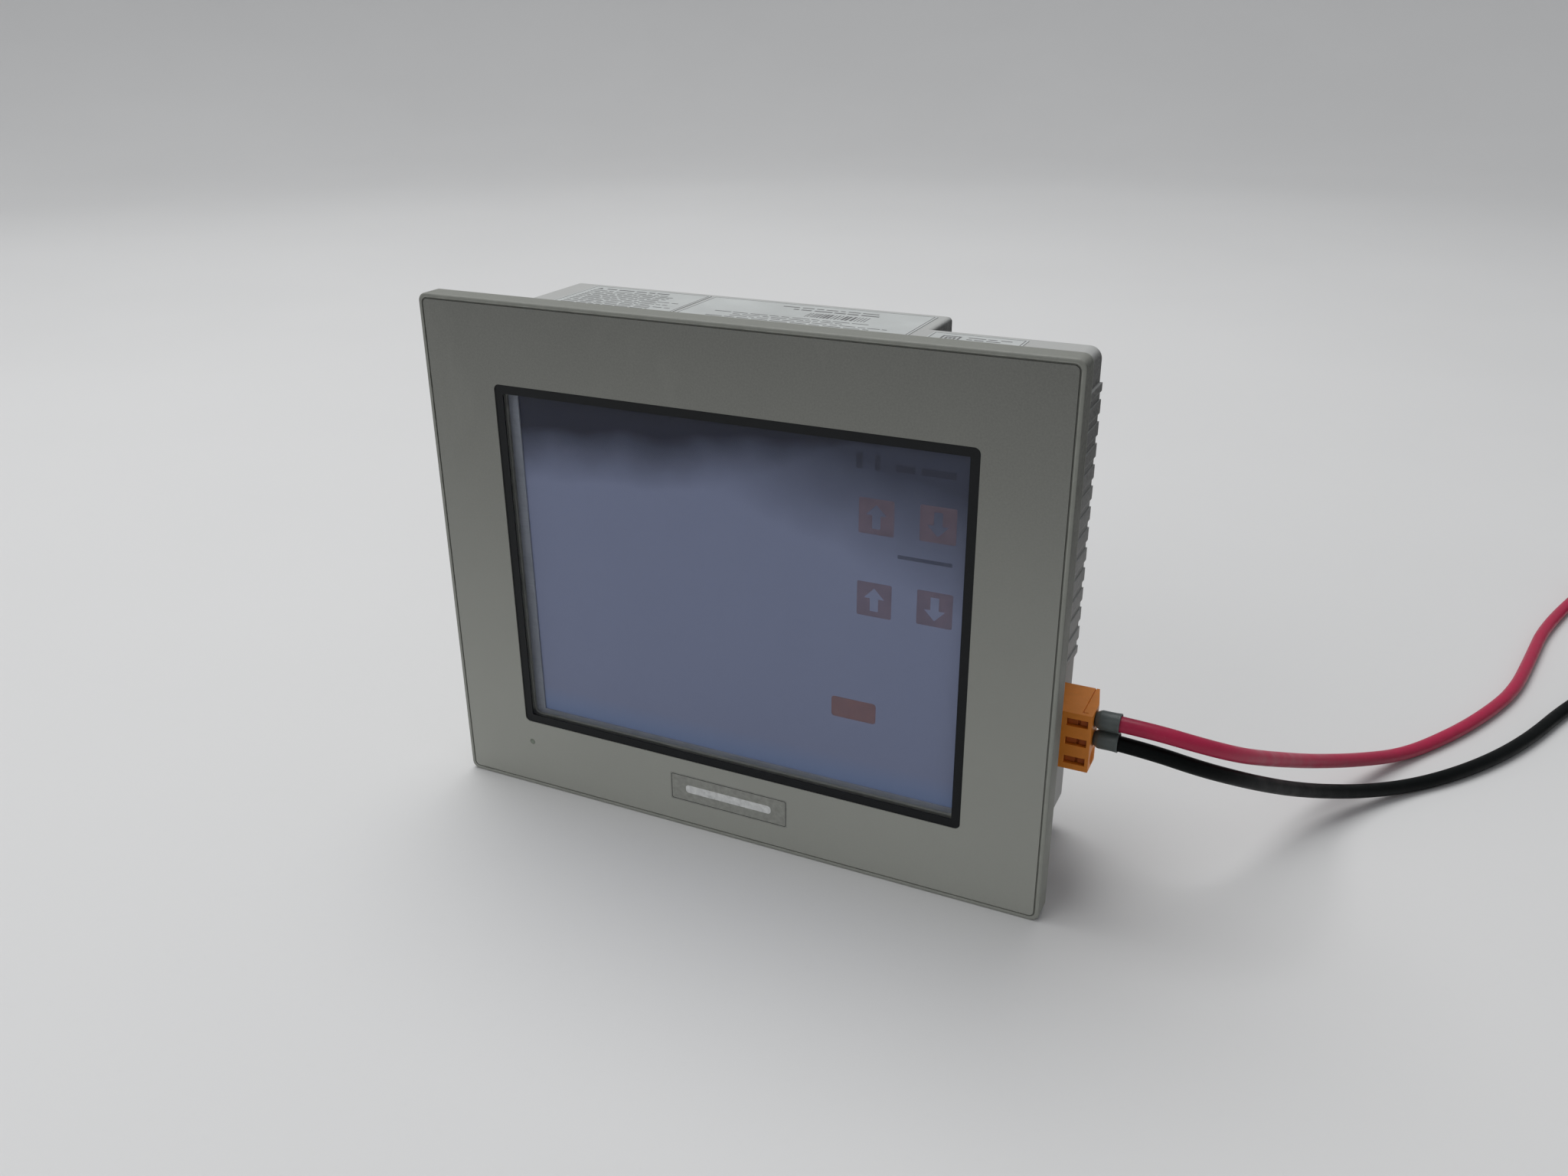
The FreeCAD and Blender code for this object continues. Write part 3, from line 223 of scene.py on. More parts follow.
def buildFloor():
    profile = [(0.0, 0.0), (0.5, 0.0), (1.0, 0.0), (studio["floorFlat"], 0.0)]
    steps = 14
    for k in range(1, steps + 1):
        t = k / steps * math.pi / 2
        reach = studio["wallReach"] - studio["floorFlat"]
        profile.append((
            studio["floorFlat"] + reach * math.sin(t),
            studio["wallHeight"] * (1 - math.cos(t)),
        ))
    bm = bmesh.new()
    rounds = 96
    rings = []
    for radius, height in profile[1:]:
        ring = []
        for k in range(rounds):
            a = 2 * math.pi * k / rounds
            spot = (radius * math.cos(a), radius * math.sin(a), wire["floor"] + height)
            ring.append(bm.verts.new(spot))
        rings.append(ring)
    hub = bm.verts.new((0, 0, wire["floor"]))
    for k in range(rounds):
        bm.faces.new((hub, rings[0][k], rings[0][(k + 1) % rounds]))
    for inner, outer in zip(rings, rings[1:]):
        for k in range(rounds):
            j = (k + 1) % rounds
            bm.faces.new((inner[k], outer[k], outer[j], inner[j]))
    mesh = bpy.data.meshes.new("studioFloor")
    bm.to_mesh(mesh)
    bm.free()
    for face in mesh.polygons:
        face.use_smooth = True
    floor = bpy.data.objects.new("studioFloor", mesh)
    bpy.context.scene.collection.objects.link(floor)
    return floor


def hangLamps():
    for name, place, aim, size, watts in studio["lamps"]:
        lamp = bpy.data.lights.new(name, "AREA")
        lamp.shape = "DISK"
        lamp.size = size
        lamp.energy = watts
        lampObject = bpy.data.objects.new(name, lamp)
        bpy.context.scene.collection.objects.link(lampObject)
        lampObject.location = place
        lampObject.rotation_mode = "QUATERNION"
        lampObject.rotation_quaternion = (Vector(aim) - Vector(place)).to_track_quat("-Z", "Y")
    world = bpy.data.worlds.new("studioAir")
    world.use_nodes = True
    air = world.node_tree.nodes["Background"]
    air.inputs["Color"].default_value = (*studio["skyColour"], 1)
    air.inputs["Strength"].default_value = studio["skyStrength"]
    bpy.context.scene.world = world


studioFloor = buildFloor()
hangLamps()
bpy.context.scene.view_settings.view_transform = "Standard"
print("studio built")


def freshMaterial(name):
    mat = bpy.data.materials.new(name)
    mat.use_nodes = True
    tree = mat.node_tree
    tree.nodes.clear()
    out = tree.nodes.new("ShaderNodeOutputMaterial")
    shader = tree.nodes.new("ShaderNodeBsdfPrincipled")
    tree.links.new(shader.outputs["BSDF"], out.inputs["Surface"])
    return mat, tree, shader


def node(tree, kind, **inputs):
    made = tree.nodes.new("ShaderNode" + kind)
    for name, value in inputs.items():
        made.inputs[name].default_value = value
    return made


def link(tree, a, b):
    tree.links.new(a, b)


def heightShare(tree, low, high):
    # 0 at the lower height, 1 at the upper one
    split = node(tree, "SeparateXYZ")
    link(tree, metres(tree), split.inputs[0])
    return spread(tree, split.outputs["Z"], 0, 1, low, high)


def metres(tree):
    # object coordinates are metres in the part's own frame
    return node(tree, "TexCoord").outputs["Object"]


def noise(tree, size, detail=3.0, rough=0.55, stretch=None):
    # size is the grain's width in metres; stretch scales each axis first
    made = node(tree, "TexNoise", Scale=1 / size, Detail=detail, Roughness=rough)
    at = metres(tree)
    if stretch:
        place = node(tree, "Mapping")
        place.inputs["Scale"].default_value = stretch
        link(tree, at, place.inputs["Vector"])
        at = place.outputs["Vector"]
    link(tree, at, made.inputs["Vector"])
    return made.outputs["Fac"]


def spread(tree, value, low, high, a=0.3, b=0.7):
    # maps a noise value from a..b to low..high
    made = node(tree, "MapRange")
    made.inputs["From Min"].default_value = a
    made.inputs["From Max"].default_value = b
    made.inputs["To Min"].default_value = low
    made.inputs["To Max"].default_value = high
    link(tree, value, made.inputs["Value"])
    return made.outputs["Result"]


def math2(tree, kind, a, b):
    made = tree.nodes.new("ShaderNodeMath")
    made.operation = kind
    for socket, value in zip(made.inputs, (a, b)):
        if isinstance(value, (int, float)):
            socket.default_value = value
        else:
            link(tree, value, socket)
    return made.outputs[0]


def blendColours(tree, share, a, b):
    made = tree.nodes.new("ShaderNodeMix")
    made.data_type = "RGBA"
    sockets = [s for s in made.inputs if s.type == "RGBA"]
    for socket, value in zip(sockets, (a, b)):
        if isinstance(value, tuple):
            socket.default_value = (*value, 1)
        else:
            link(tree, value, socket)
    if isinstance(share, (int, float)):
        made.inputs["Factor"].default_value = share
    else:
        link(tree, share, made.inputs["Factor"])
    return [s for s in made.outputs if s.type == "RGBA"][0]


def scaled(colour, by):
    return tuple(min(c * by, 1) for c in colour)


def edgeShare(tree, radius, keen):
    # near 1 on outside and inside edges within this radius, 0 on open faces
    soft = tree.nodes.new("ShaderNodeBevel")
    soft.samples = 6
    soft.inputs["Radius"].default_value = radius
    plain = node(tree, "NewGeometry")
    dot = tree.nodes.new("ShaderNodeVectorMath")
    dot.operation = "DOT_PRODUCT"
    link(tree, soft.outputs["Normal"], dot.inputs[0])
    link(tree, plain.outputs["Normal"], dot.inputs[1])
    gap = math2(tree, "SUBTRACT", 1.0, dot.outputs["Value"])
    made = math2(tree, "MULTIPLY", gap, keen)
    made.node.use_clamp = True
    return made


def surfaceNormal(tree, shader, edge, bumps):
    # rounded edges first, then each bump (height value, depth in metres) on top
    last = None
    if edge:
        soft = tree.nodes.new("ShaderNodeBevel")
        soft.samples = 6
        soft.inputs["Radius"].default_value = edge
        last = soft.outputs["Normal"]
    for height, depth in bumps:
        bump = node(tree, "Bump", Strength=1.0, Distance=depth)
        link(tree, height, bump.inputs["Height"])
        if last:
            link(tree, last, bump.inputs["Normal"])
        last = bump.outputs["Normal"]
    if last:
        link(tree, last, shader.inputs["Normal"])


# where painted shade darkens the panel: heights from unshaded to shaded, how far a face turns right,
# and the shine left on the shaded side
paintedShade = {
    "whole": (-68 * mm, 68 * mm), "side": (-60 * mm, 40 * mm), "turn": (0.6, 0.95),
    "sideShine": 0.03,
}


def moulded(name, look):
    # moulded plastic: spark texture, cloudy colour, painted shade on the upper part and the right
    # side where asked, rubbed edges, fine dirt
    mat, tree, shader = freshMaterial(name)
    base = look["colour"]
    cloud = spread(tree, noise(tree, look.get("cloud", 22 * mm), 4), 0, 1)
    fine = spread(tree, noise(tree, look.get("speck", 0.7 * mm), 2), 0, 1)
    colour = blendColours(tree, cloud, scaled(base, 1 - look["vary"]), scaled(base, 1 + look["vary"]))
    if look.get("topShadeTone"):
        # painted shade: the upper part a little darker, and the right side darkest, with less shine
        # there
        top = scaled(base, look["topShadeTone"])
        colour = blendColours(tree, heightShare(tree, *paintedShade["whole"]), colour, top)
        facing = node(tree, "SeparateXYZ")
        link(tree, node(tree, "TexCoord").outputs["Normal"], facing.inputs[0])
        rightSide = spread(tree, facing.outputs["X"], 0, 1, *paintedShade["turn"])
        shade = math2(tree, "MULTIPLY", rightSide, heightShare(tree, *paintedShade["side"]))
        colour = blendColours(tree, shade, colour, scaled(base, look["sideShadeTone"]))
        shadedSideShine = spread(tree, shade, look["shine"], paintedShade["sideShine"], 0, 1)
        link(tree, shadedSideShine, shader.inputs["Specular IOR Level"])
    colour = blendColours(tree, math2(tree, "MULTIPLY", fine, look.get("speckShare", 0.25)),
                          colour, scaled(base, 1 - 2.2 * look["vary"]))
    if look.get("rubbed"):
        worn = math2(tree, "MULTIPLY", edgeShare(tree, look["rubRadius"], 9.0),
                     spread(tree, noise(tree, 3 * mm, 4), 0.1, look["rubbed"]))
        colour = blendColours(tree, worn, colour, scaled(base, look.get("rubTone", 1.35)))
    if look.get("dirt"):
        grime = noise(tree, look.get("dirtSize", 2.6 * mm), 6, 0.7)
        spots = spread(tree, grime, 0, look["dirt"], 0.62, 0.80)
        colour = blendColours(tree, spots, colour, look.get("dirtColour", scaled(base, 0.45)))
    link(tree, colour, shader.inputs["Base Color"])
    smear = noise(tree, 9 * mm, 5)
    rough = look["rough"]
    link(tree, spread(tree, smear, rough - 0.07, rough + 0.07), shader.inputs["Roughness"])
    grain = noise(tree, look.get("grain", 0.35 * mm), 2, 0.6)
    surfaceNormal(tree, shader, look.get("edge"), [(grain, look["grainDepth"])])
    if not look.get("topShadeTone"):
        shader.inputs["Specular IOR Level"].default_value = look.get("shine", 0.45)
    return mat


def metal(name, look):
    # plated or pressed metal with a drawn grain and light staining
    mat, tree, shader = freshMaterial(name)
    base = look["colour"]
    lines = noise(tree, look["lineSize"], 3, 0.6, look["stretch"])
    stain = noise(tree, 6 * mm, 4)
    colour = blendColours(tree, spread(tree, stain, 0, 1), scaled(base, 0.86), scaled(base, 1.08))
    colour = blendColours(tree, spread(tree, lines, 0, 0.35), colour, scaled(base, 0.7))
    link(tree, colour, shader.inputs["Base Color"])
    rough = look["rough"]
    link(tree, spread(tree, lines, rough - 0.06, rough + 0.12), shader.inputs["Roughness"])
    shader.inputs["Metallic"].default_value = look.get("metal", 1.0)
    surfaceNormal(tree, shader, look.get("edge"), [(lines, look["lineDepth"])])
    return mat


def vinyl(name, look):
    # extruded wire cover: faint draw lines round it, matt handling marks
    mat, tree, shader = freshMaterial(name)
    base = look["colour"]
    marks = noise(tree, 5 * mm, 5)
    fine = noise(tree, 0.5 * mm, 2)
    darker, paler = scaled(base, 1 - look["vary"]), scaled(base, 1 + look["vary"])
    colour = blendColours(tree, spread(tree, marks, 0, 1), darker, paler)
    colour = blendColours(tree, spread(tree, fine, 0, 0.10, 0.60, 0.78), colour, look["dust"])
    link(tree, colour, shader.inputs["Base Color"])
    rough = look["rough"]
    link(tree, spread(tree, marks, rough - 0.06, rough + 0.10), shader.inputs["Roughness"])
    surfaceNormal(tree, shader, None, [(fine, 0.02 * mm), (marks, 0.08 * mm)])
    shader.inputs["Specular IOR Level"].default_value = look["shine"]
    return mat


# bezel and case: the upper and side tones below are painted shade, darkening the upper part and the
# right side
bezelLook = {
    "colour": (0.275, 0.282, 0.252), "topShadeTone": 0.72, "sideShadeTone": 0.36,
    "vary": 0.05, "rough": 0.52, "shine": 0.30,
    "grain": 0.30 * mm, "grainDepth": 0.018 * mm, "edge": 0.35 * mm,
    "rubbed": 0.75, "rubRadius": 0.7 * mm, "rubTone": 1.45, "dirt": 0.35,
}
caseLook = {
    "colour": (0.395, 0.400, 0.388), "topShadeTone": 0.98, "sideShadeTone": 0.24,
    "vary": 0.035, "rough": 0.58, "shine": 0.40,
    "grain": 0.45 * mm, "grainDepth": 0.035 * mm, "edge": 0.45 * mm,
    "rubbed": 0.35, "rubRadius": 0.8 * mm, "rubTone": 1.15, "dirt": 0.22,
    "dirtColour": (0.30, 0.28, 0.24),
}
orangeLook = {
    "colour": (0.780, 0.250, 0.026), "vary": 0.07, "rough": 0.46, "shine": 0.45,
    "cloud": 5 * mm, "grain": 0.25 * mm, "grainDepth": 0.012 * mm, "edge": 0.18 * mm,
    "rubbed": 0.4, "rubRadius": 0.35 * mm, "rubTone": 1.25, "dirt": 0.25, "dirtSize": 1.2 * mm,
}
# release buttons: the plug's orange darkened as painted shade for the recess they sit in
buttonLook = {
    "colour": (0.420, 0.095, 0.012), "vary": 0.10, "rough": 0.50, "shine": 0.30,
    "cloud": 4 * mm, "grain": 0.25 * mm, "grainDepth": 0.012 * mm, "edge": 0.12 * mm, "dirt": 0.3,
}
sleeveLook = {
    "colour": (0.085, 0.103, 0.100), "vary": 0.10, "rough": 0.42, "shine": 0.5,
    "cloud": 2.5 * mm, "speck": 0.35 * mm, "grain": 0.4 * mm, "grainDepth": 0.02 * mm,
    "edge": None, "dirt": 0.3, "dirtSize": 0.9 * mm,
}
blackLook = {
    "colour": (0.026, 0.026, 0.028), "vary": 0.15, "rough": 0.44,
    "grainDepth": 0.012 * mm, "edge": 0.15 * mm,
    "rubbed": 0.25, "rubRadius": 0.3 * mm, "rubTone": 2.2,
}
whiteLook = {
    "colour": (0.78, 0.78, 0.75), "vary": 0.04, "rough": 0.45,
    "grainDepth": 0.010 * mm, "edge": 0.10 * mm, "dirt": 0.15,
}
sealLook = {
    "colour": (0.030, 0.030, 0.031), "vary": 0.15, "rough": 0.78, "shine": 0.3,
    "grain": 0.5 * mm, "grainDepth": 0.05 * mm, "edge": 0.25 * mm,
    "dirt": 0.35, "dirtColour": (0.10, 0.10, 0.095),
}
ferriteLook = {
    "colour": (0.060, 0.060, 0.063), "vary": 0.12, "rough": 0.72, "shine": 0.3,
    "grain": 0.3 * mm, "grainDepth": 0.04 * mm, "edge": 0.3 * mm,
}
steelLook = {
    "colour": (0.56, 0.56, 0.55), "rough": 0.34, "lineSize": 0.25 * mm,
    "stretch": (1.0, 0.12, 1.0), "lineDepth": 0.006 * mm, "edge": 0.12 * mm,
}
frameMetalLook = {
    "colour": (0.34, 0.37, 0.43), "rough": 0.52, "lineSize": 0.3 * mm, "metal": 0.2,
    "stretch": (0.1, 1.0, 1.0), "lineDepth": 0.006 * mm, "edge": 0.1 * mm,
}
goldLook = {
    "colour": (0.72, 0.60, 0.33), "rough": 0.28, "lineSize": 0.2 * mm,
    "stretch": (1.0, 1.0, 0.15), "lineDepth": 0.004 * mm, "edge": 0.08 * mm,
}
tinLook = {
    "colour": (0.66, 0.65, 0.62), "rough": 0.33, "lineSize": 0.3 * mm,
    "stretch": (1.0, 1.0, 1.0), "lineDepth": 0.010 * mm, "edge": 0.10 * mm,
}
finLook = {
    "colour": (0.68, 0.69, 0.70), "rough": 0.40, "lineSize": 0.3 * mm,
    "stretch": (1.0, 1.0, 0.1), "lineDepth": 0.008 * mm, "edge": 0.10 * mm,
}
redLook = {
    "colour": (0.370, 0.010, 0.052), "vary": 0.08, "rough": 0.40, "shine": 0.35,
    "dust": (0.45, 0.16, 0.20),
}
darkLook = {
    "colour": (0.002, 0.003, 0.003), "vary": 0.20, "rough": 0.42, "shine": 0.08,
    "dust": (0.02, 0.022, 0.024),
}


def frontFilm():
    # satin front sheet: very fine grain, faint finger smears, small rubs, and painted shading that is
    # light at the bottom and dark at the top
    look = {"colour": (0.242, 0.247, 0.222), "rough": 0.47, "grain": 0.28 * mm, "depth": 0.010 * mm}
    mat, tree, shader = freshMaterial("satinFrontFilm")
    base = look["colour"]
    cloud = noise(tree, 60 * mm, 3)
    fleck = noise(tree, 0.45 * mm, 2)
    smear = noise(tree, 14 * mm, 6, 0.62, (1.0, 1.0, 0.35))
    # painted light and shade: the lower part brighter, the upper part darker
    lower = blendColours(tree, spread(tree, cloud, 0, 1), scaled(base, 1.32), scaled(base, 1.40))
    upper = blendColours(tree, spread(tree, cloud, 0, 1), scaled(base, 0.50), scaled(base, 0.55))
    colour = blendColours(tree, heightShare(tree, -62 * mm, 66 * mm), lower, upper)
    colour = blendColours(tree, spread(tree, fleck, 0, 0.2), colour, scaled(base, 1.12))
    colour = blendColours(tree, spread(tree, smear, 0, 0.2, 0.55, 0.8), colour, scaled(base, 1.15))
    pits = spread(tree, noise(tree, 1.8 * mm, 5, 0.7), 0, 0.5, 0.70, 0.82)
    colour = blendColours(tree, pits, colour, scaled(base, 0.55))
    link(tree, colour, shader.inputs["Base Color"])
    rough = look["rough"]
    link(tree, spread(tree, smear, rough - 0.06, rough + 0.06), shader.inputs["Roughness"])
    grain = noise(tree, look["grain"], 2)
    surfaceNormal(tree, shader, 0.10 * mm, [(grain, look["depth"])])
    return mat


def printInk(name, colour, rough, shine=0.5):
    # thin screen print, slightly uneven
    mat, tree, shader = freshMaterial(name)
    patch = noise(tree, 1.5 * mm, 4)
    fine = noise(tree, 0.25 * mm, 2)
    tone = blendColours(tree, spread(tree, patch, 0, 1), scaled(colour, 0.85), scaled(colour, 1.2))
    link(tree, tone, shader.inputs["Base Color"])
    link(tree, spread(tree, patch, rough - 0.08, rough + 0.08), shader.inputs["Roughness"])
    surfaceNormal(tree, shader, None, [(fine, 0.003 * mm)])
    shader.inputs["Specular IOR Level"].default_value = shine
    return mat


def labelFilm():
    # pale silvery film with a matt print face and soft handling marks
    mat, tree, shader = freshMaterial("paleLabelFilm")
    base = (0.47, 0.49, 0.48)
    cloud = noise(tree, 16 * mm, 4)
    fine = noise(tree, 0.6 * mm, 3)
    colour = blendColours(tree, spread(tree, cloud, 0, 1), scaled(base, 0.94), scaled(base, 1.05))
    colour = blendColours(tree, spread(tree, fine, 0, 0.3, 0.55, 0.8), colour, scaled(base, 0.75))
    link(tree, colour, shader.inputs["Base Color"])
    link(tree, spread(tree, cloud, 0.34, 0.50), shader.inputs["Roughness"])
    surfaceNormal(tree, shader, 0.05 * mm, [(fine, 0.006 * mm)])
    return mat


def screenCell():
    # unlit display: grey-blue, with painted shade along the top and in the right corner, and painted
    # light along the bottom
    look = {
        "dark": (0.007, 0.010, 0.030), "middle": (0.290, 0.335, 0.510),
        "low": (0.250, 0.350, 0.600),
    }
    mat, tree, shader = freshMaterial("dimBlueScreen")
    split = node(tree, "SeparateXYZ")
    link(tree, metres(tree), split.inputs[0])
    cloud = spread(tree, noise(tree, 45 * mm, 3), -4 * mm, 4 * mm)
    height = math2(tree, "ADD", split.outputs["Z"], cloud)
    across = split.outputs["X"]
    rightCorner = math2(tree, "ADD", height, math2(tree, "MULTIPLY", across, 0.32))
    topLeft = math2(tree, "ADD", height, math2(tree, "MULTIPLY", across, -0.12))
    # painted shade: the top and the right corner darker
    shadedTopAndCorner = math2(tree, "MAXIMUM", spread(tree, rightCorner, 0, 0.85, 26 * mm, 52 * mm),
                 spread(tree, topLeft, 0, 1, 27 * mm, 42 * mm))
    colour = blendColours(tree, shadedTopAndCorner, look["middle"], look["dark"])
    # painted light: the bottom edge lighter
    bottom = spread(tree, split.outputs["Z"], 0.8, 0, -43 * mm, -37 * mm)
    colour = blendColours(tree, bottom, colour, look["low"])
    fine = noise(tree, 0.5 * mm, 1)
    colour = blendColours(tree, spread(tree, fine, 0, 0.03), colour, (0.30, 0.32, 0.45))
    link(tree, colour, shader.inputs["Base Color"])
    link(tree, spread(tree, fine, 0.36, 0.42), shader.inputs["Roughness"])
    shader.inputs["Specular IOR Level"].default_value = 0.3
    return mat


def touchGlass():
    # hard-coated touch panel: clear, a little blue-grey, with faint wiping streaks
    mat, tree, shader = freshMaterial("hardCoatedGlass")
    streak = noise(tree, 20 * mm, 5, 0.6, (1.0, 1.0, 0.25))
    tint = blendColours(tree, spread(tree, streak, 0, 1),
                        (0.030, 0.034, 0.050), (0.045, 0.050, 0.065))
    link(tree, tint, shader.inputs["Base Color"])
    link(tree, spread(tree, streak, 0.10, 0.19), shader.inputs["Roughness"])
    shader.inputs["Alpha"].default_value = 0.13
    shader.inputs["Specular IOR Level"].default_value = 0.4
    shader.inputs["IOR"].default_value = 1.50
    return mat


def ghostInk(name, colour, alpha):
    # a burnt-in picture: only a slight change of tone in the screen
    mat, tree, shader = freshMaterial(name)
    patch = noise(tree, 2.2 * mm, 4)
    tone = blendColours(tree, spread(tree, patch, 0, 1), scaled(colour, 0.8), scaled(colour, 1.15))
    link(tree, tone, shader.inputs["Base Color"])
    link(tree, spread(tree, patch, 0.35, 0.5), shader.inputs["Roughness"])
    shader.inputs["Alpha"].default_value = alpha
    return mat


def circuitGreen():
    # solder mask over tracks
    mat, tree, shader = freshMaterial("solderMaskGreen")
    tracks = tree.nodes.new("ShaderNodeTexBrick")
    tracks.inputs["Scale"].default_value = 260
    tracks.inputs["Color1"].default_value = (0.010, 0.085, 0.035, 1)
    tracks.inputs["Color2"].default_value = (0.014, 0.115, 0.048, 1)
    tracks.inputs["Mortar"].default_value = (0.008, 0.060, 0.026, 1)
    tracks.inputs["Mortar Size"].default_value = 0.03
    turn = node(tree, "Mapping")
    turn.inputs["Rotation"].default_value = (math.pi / 2, 0, 0)
    link(tree, metres(tree), turn.inputs["Vector"])
    link(tree, turn.outputs["Vector"], tracks.inputs["Vector"])
    link(tree, tracks.outputs["Color"], shader.inputs["Base Color"])
    fine = noise(tree, 0.6 * mm, 2)
    link(tree, spread(tree, fine, 0.25, 0.40), shader.inputs["Roughness"])
    surfaceNormal(tree, shader, None, [(tracks.outputs["Fac"], 0.02 * mm), (fine, 0.004 * mm)])
    return mat


def ledLens():
    mat, tree, shader = freshMaterial("frostedLampLens")
    ring = noise(tree, 0.4 * mm, 2)
    tone = blendColours(tree, spread(tree, ring, 0, 1), (0.13, 0.15, 0.12), (0.20, 0.23, 0.18))
    link(tree, tone, shader.inputs["Base Color"])
    link(tree, spread(tree, ring, 0.25, 0.40), shader.inputs["Roughness"])
    surfaceNormal(tree, shader, 0.12 * mm, [(ring, 0.006 * mm)])
    return mat


def floorPaper():
    # pale matt table top with the faintest clouding
    mat, tree, shader = freshMaterial("paleTable")
    base = studio["floorColour"]
    cloud = noise(tree, 0.35, 4)
    fine = noise(tree, 3 * mm, 3)
    colour = blendColours(tree, spread(tree, cloud, 0, 1), scaled(base, 0.985), scaled(base, 1.012))
    colour = blendColours(tree, spread(tree, fine, 0, 0.25, 0.6, 0.8), colour, scaled(base, 0.96))
    link(tree, colour, shader.inputs["Base Color"])
    link(tree, spread(tree, cloud, 0.62, 0.72), shader.inputs["Roughness"])
    shader.inputs["Specular IOR Level"].default_value = 0.25
    return mat


bezelPaint = moulded("warmGreyBezel", bezelLook)
casePaint = moulded("paleGreyCase", caseLook)
orangePaint = moulded("orangePlug", orangeLook)
# the release buttons carry painted shade for their recess
buttonPaint = moulded("recessShadedButton", buttonLook)
sleevePaint = moulded("greySleeve", sleeveLook)
blackPaint = moulded("blackMoulding", blackLook)
whitePaint = moulded("whiteMoulding", whiteLook)
sealPaint = moulded("sealRubber", sealLook)
ferritePaint = moulded("ferriteCore", ferriteLook)
steelPaint = metal("zincSteel", steelLook)
framePaint = metal("pressedFrame", frameMetalLook)
goldPaint = metal("platedBrass", goldLook)
tinPaint = metal("tinnedCopper", tinLook)
finPaint = metal("drawnAluminium", finLook)
redPaint = vinyl("raspberryVinyl", redLook)
darkPaint = vinyl("blackVinyl", darkLook)
filmPaint = frontFilm()
borderInk = printInk("windowBorderInk", (0.006, 0.007, 0.008), 0.42, 0.2)
plateInk = printInk("plateFilm", (0.255, 0.260, 0.235), 0.46)
lineInk = printInk("plateLine", (0.050, 0.050, 0.048), 0.5)
silverInk = printInk("plateSilver", (0.62, 0.63, 0.62), 0.32)
labelInk = printInk("labelGreyInk", (0.125, 0.125, 0.125), 0.5)
labelPaint = labelFilm()
screenPaint = screenCell()
glassPaint = touchGlass()
diffuserPaint = printInk("diffuserWhite", (0.78, 0.79, 0.80), 0.6)
boardPaint = circuitGreen()
lampPaint = ledLens()
ribbonPaint = printInk("amberFlatCable", (0.50, 0.27, 0.06), 0.35)
studioFloor.data.materials.append(floorPaper())

nodeFinish = {
    "front_bezel": bezelPaint, "front_sheet": filmPaint, "window_border": borderInk,
    "touch_panel": glassPaint, "name_plate": plateInk, "power_led": lampPaint,
    "panel_gasket": sealPaint, "lcd_frame": framePaint, "lcd_screen": screenPaint,
    "backlight_unit": diffuserPaint, "card_cover": casePaint, "cover_hinge_pin": steelPaint,
    "card_slot": blackPaint, "card_eject_button": blackPaint, "dip_switch": blackPaint,
    "dip_slider_1": whitePaint, "dip_slider_2": whitePaint, "dip_slider_3": whitePaint,
    "dip_slider_4": whitePaint, "ethernet_jack": blackPaint, "usb_host_port": steelPaint,
    "usb_device_port": steelPaint, "serial_port_shell": steelPaint, "serial_port_core": blackPaint,
    "serial_port_pins": goldPaint, "serial_screwlocks": steelPaint, "power_header": blackPaint,
    "header_pins": tinPaint, "plug_housing": orangePaint, "plug_contacts": tinPaint,
    "release_button_1": buttonPaint, "release_button_2": buttonPaint, "release_button_3": buttonPaint,
    "red_ferrule": sleevePaint, "black_ferrule": sleevePaint,
    "red_end_ferrule": sleevePaint, "black_end_ferrule": sleevePaint,
    "red_wire": redPaint, "black_wire": darkPaint, "red_coil": redPaint, "black_coil": darkPaint,
    "rear_case": casePaint, "chassis_plate": steelPaint, "case_screws": steelPaint,
    "case_spacers": steelPaint, "main_board": boardPaint, "power_board": boardPaint,
    "board_standoffs": goldPaint, "heat_spreader": finPaint, "filter_capacitors": blackPaint,
    "power_inductor": ferritePaint, "display_ribbon": ribbonPaint, "clock_battery": steelPaint,
    "caution_label": labelPaint, "rating_label": labelPaint, "serial_label": labelPaint,
}
for nodeName, finish in nodeFinish.items():
    for materialSlot in nodes[nodeName].material_slots:
        materialSlot.material = finish
redLead.data.materials.append(redPaint)
blackLead.data.materials.append(darkPaint)
print("finishes on", len(nodeFinish), "nodes")


def addPiece(name, bm, finish, body, smooth=False):
    bmesh.ops.recalc_face_normals(bm, faces=bm.faces)
    mesh = bpy.data.meshes.new(name)
    bm.to_mesh(mesh)
    bm.free()
    for face in mesh.polygons:
        face.use_smooth = smooth
    mesh.materials.append(finish)
    piece = bpy.data.objects.new(name, mesh)
    bpy.context.scene.collection.objects.link(piece)
    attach(piece, body)
    return piece


def addPlate(bm, outline, holes, thick, place):
    # flat printed shape with holes; place turns (x, y, 0) into the part's frame
    edges = []
    for loop in [outline] + holes:
        verts = [bm.verts.new(place @ Vector((x, y, 0))) for x, y in loop]
        edges += [bm.edges.new((a, b)) for a, b in zip(verts, verts[1:] + verts[:1])]
    made = bmesh.ops.triangle_fill(bm, edges=edges, use_beauty=True)
    faces = [f for f in made["geom"] if isinstance(f, bmesh.types.BMFace)]
    up = bmesh.ops.extrude_face_region(bm, geom=faces)
    lift = place.to_3x3() @ Vector((0, 0, thick))
    raised = [v for v in up["geom"] if isinstance(v, bmesh.types.BMVert)]
    bmesh.ops.translate(bm, verts=raised, vec=lift)


def rectangle(x0, x1, y0, y1):
    return [(x0, y0), (x1, y0), (x1, y1), (x0, y1)]


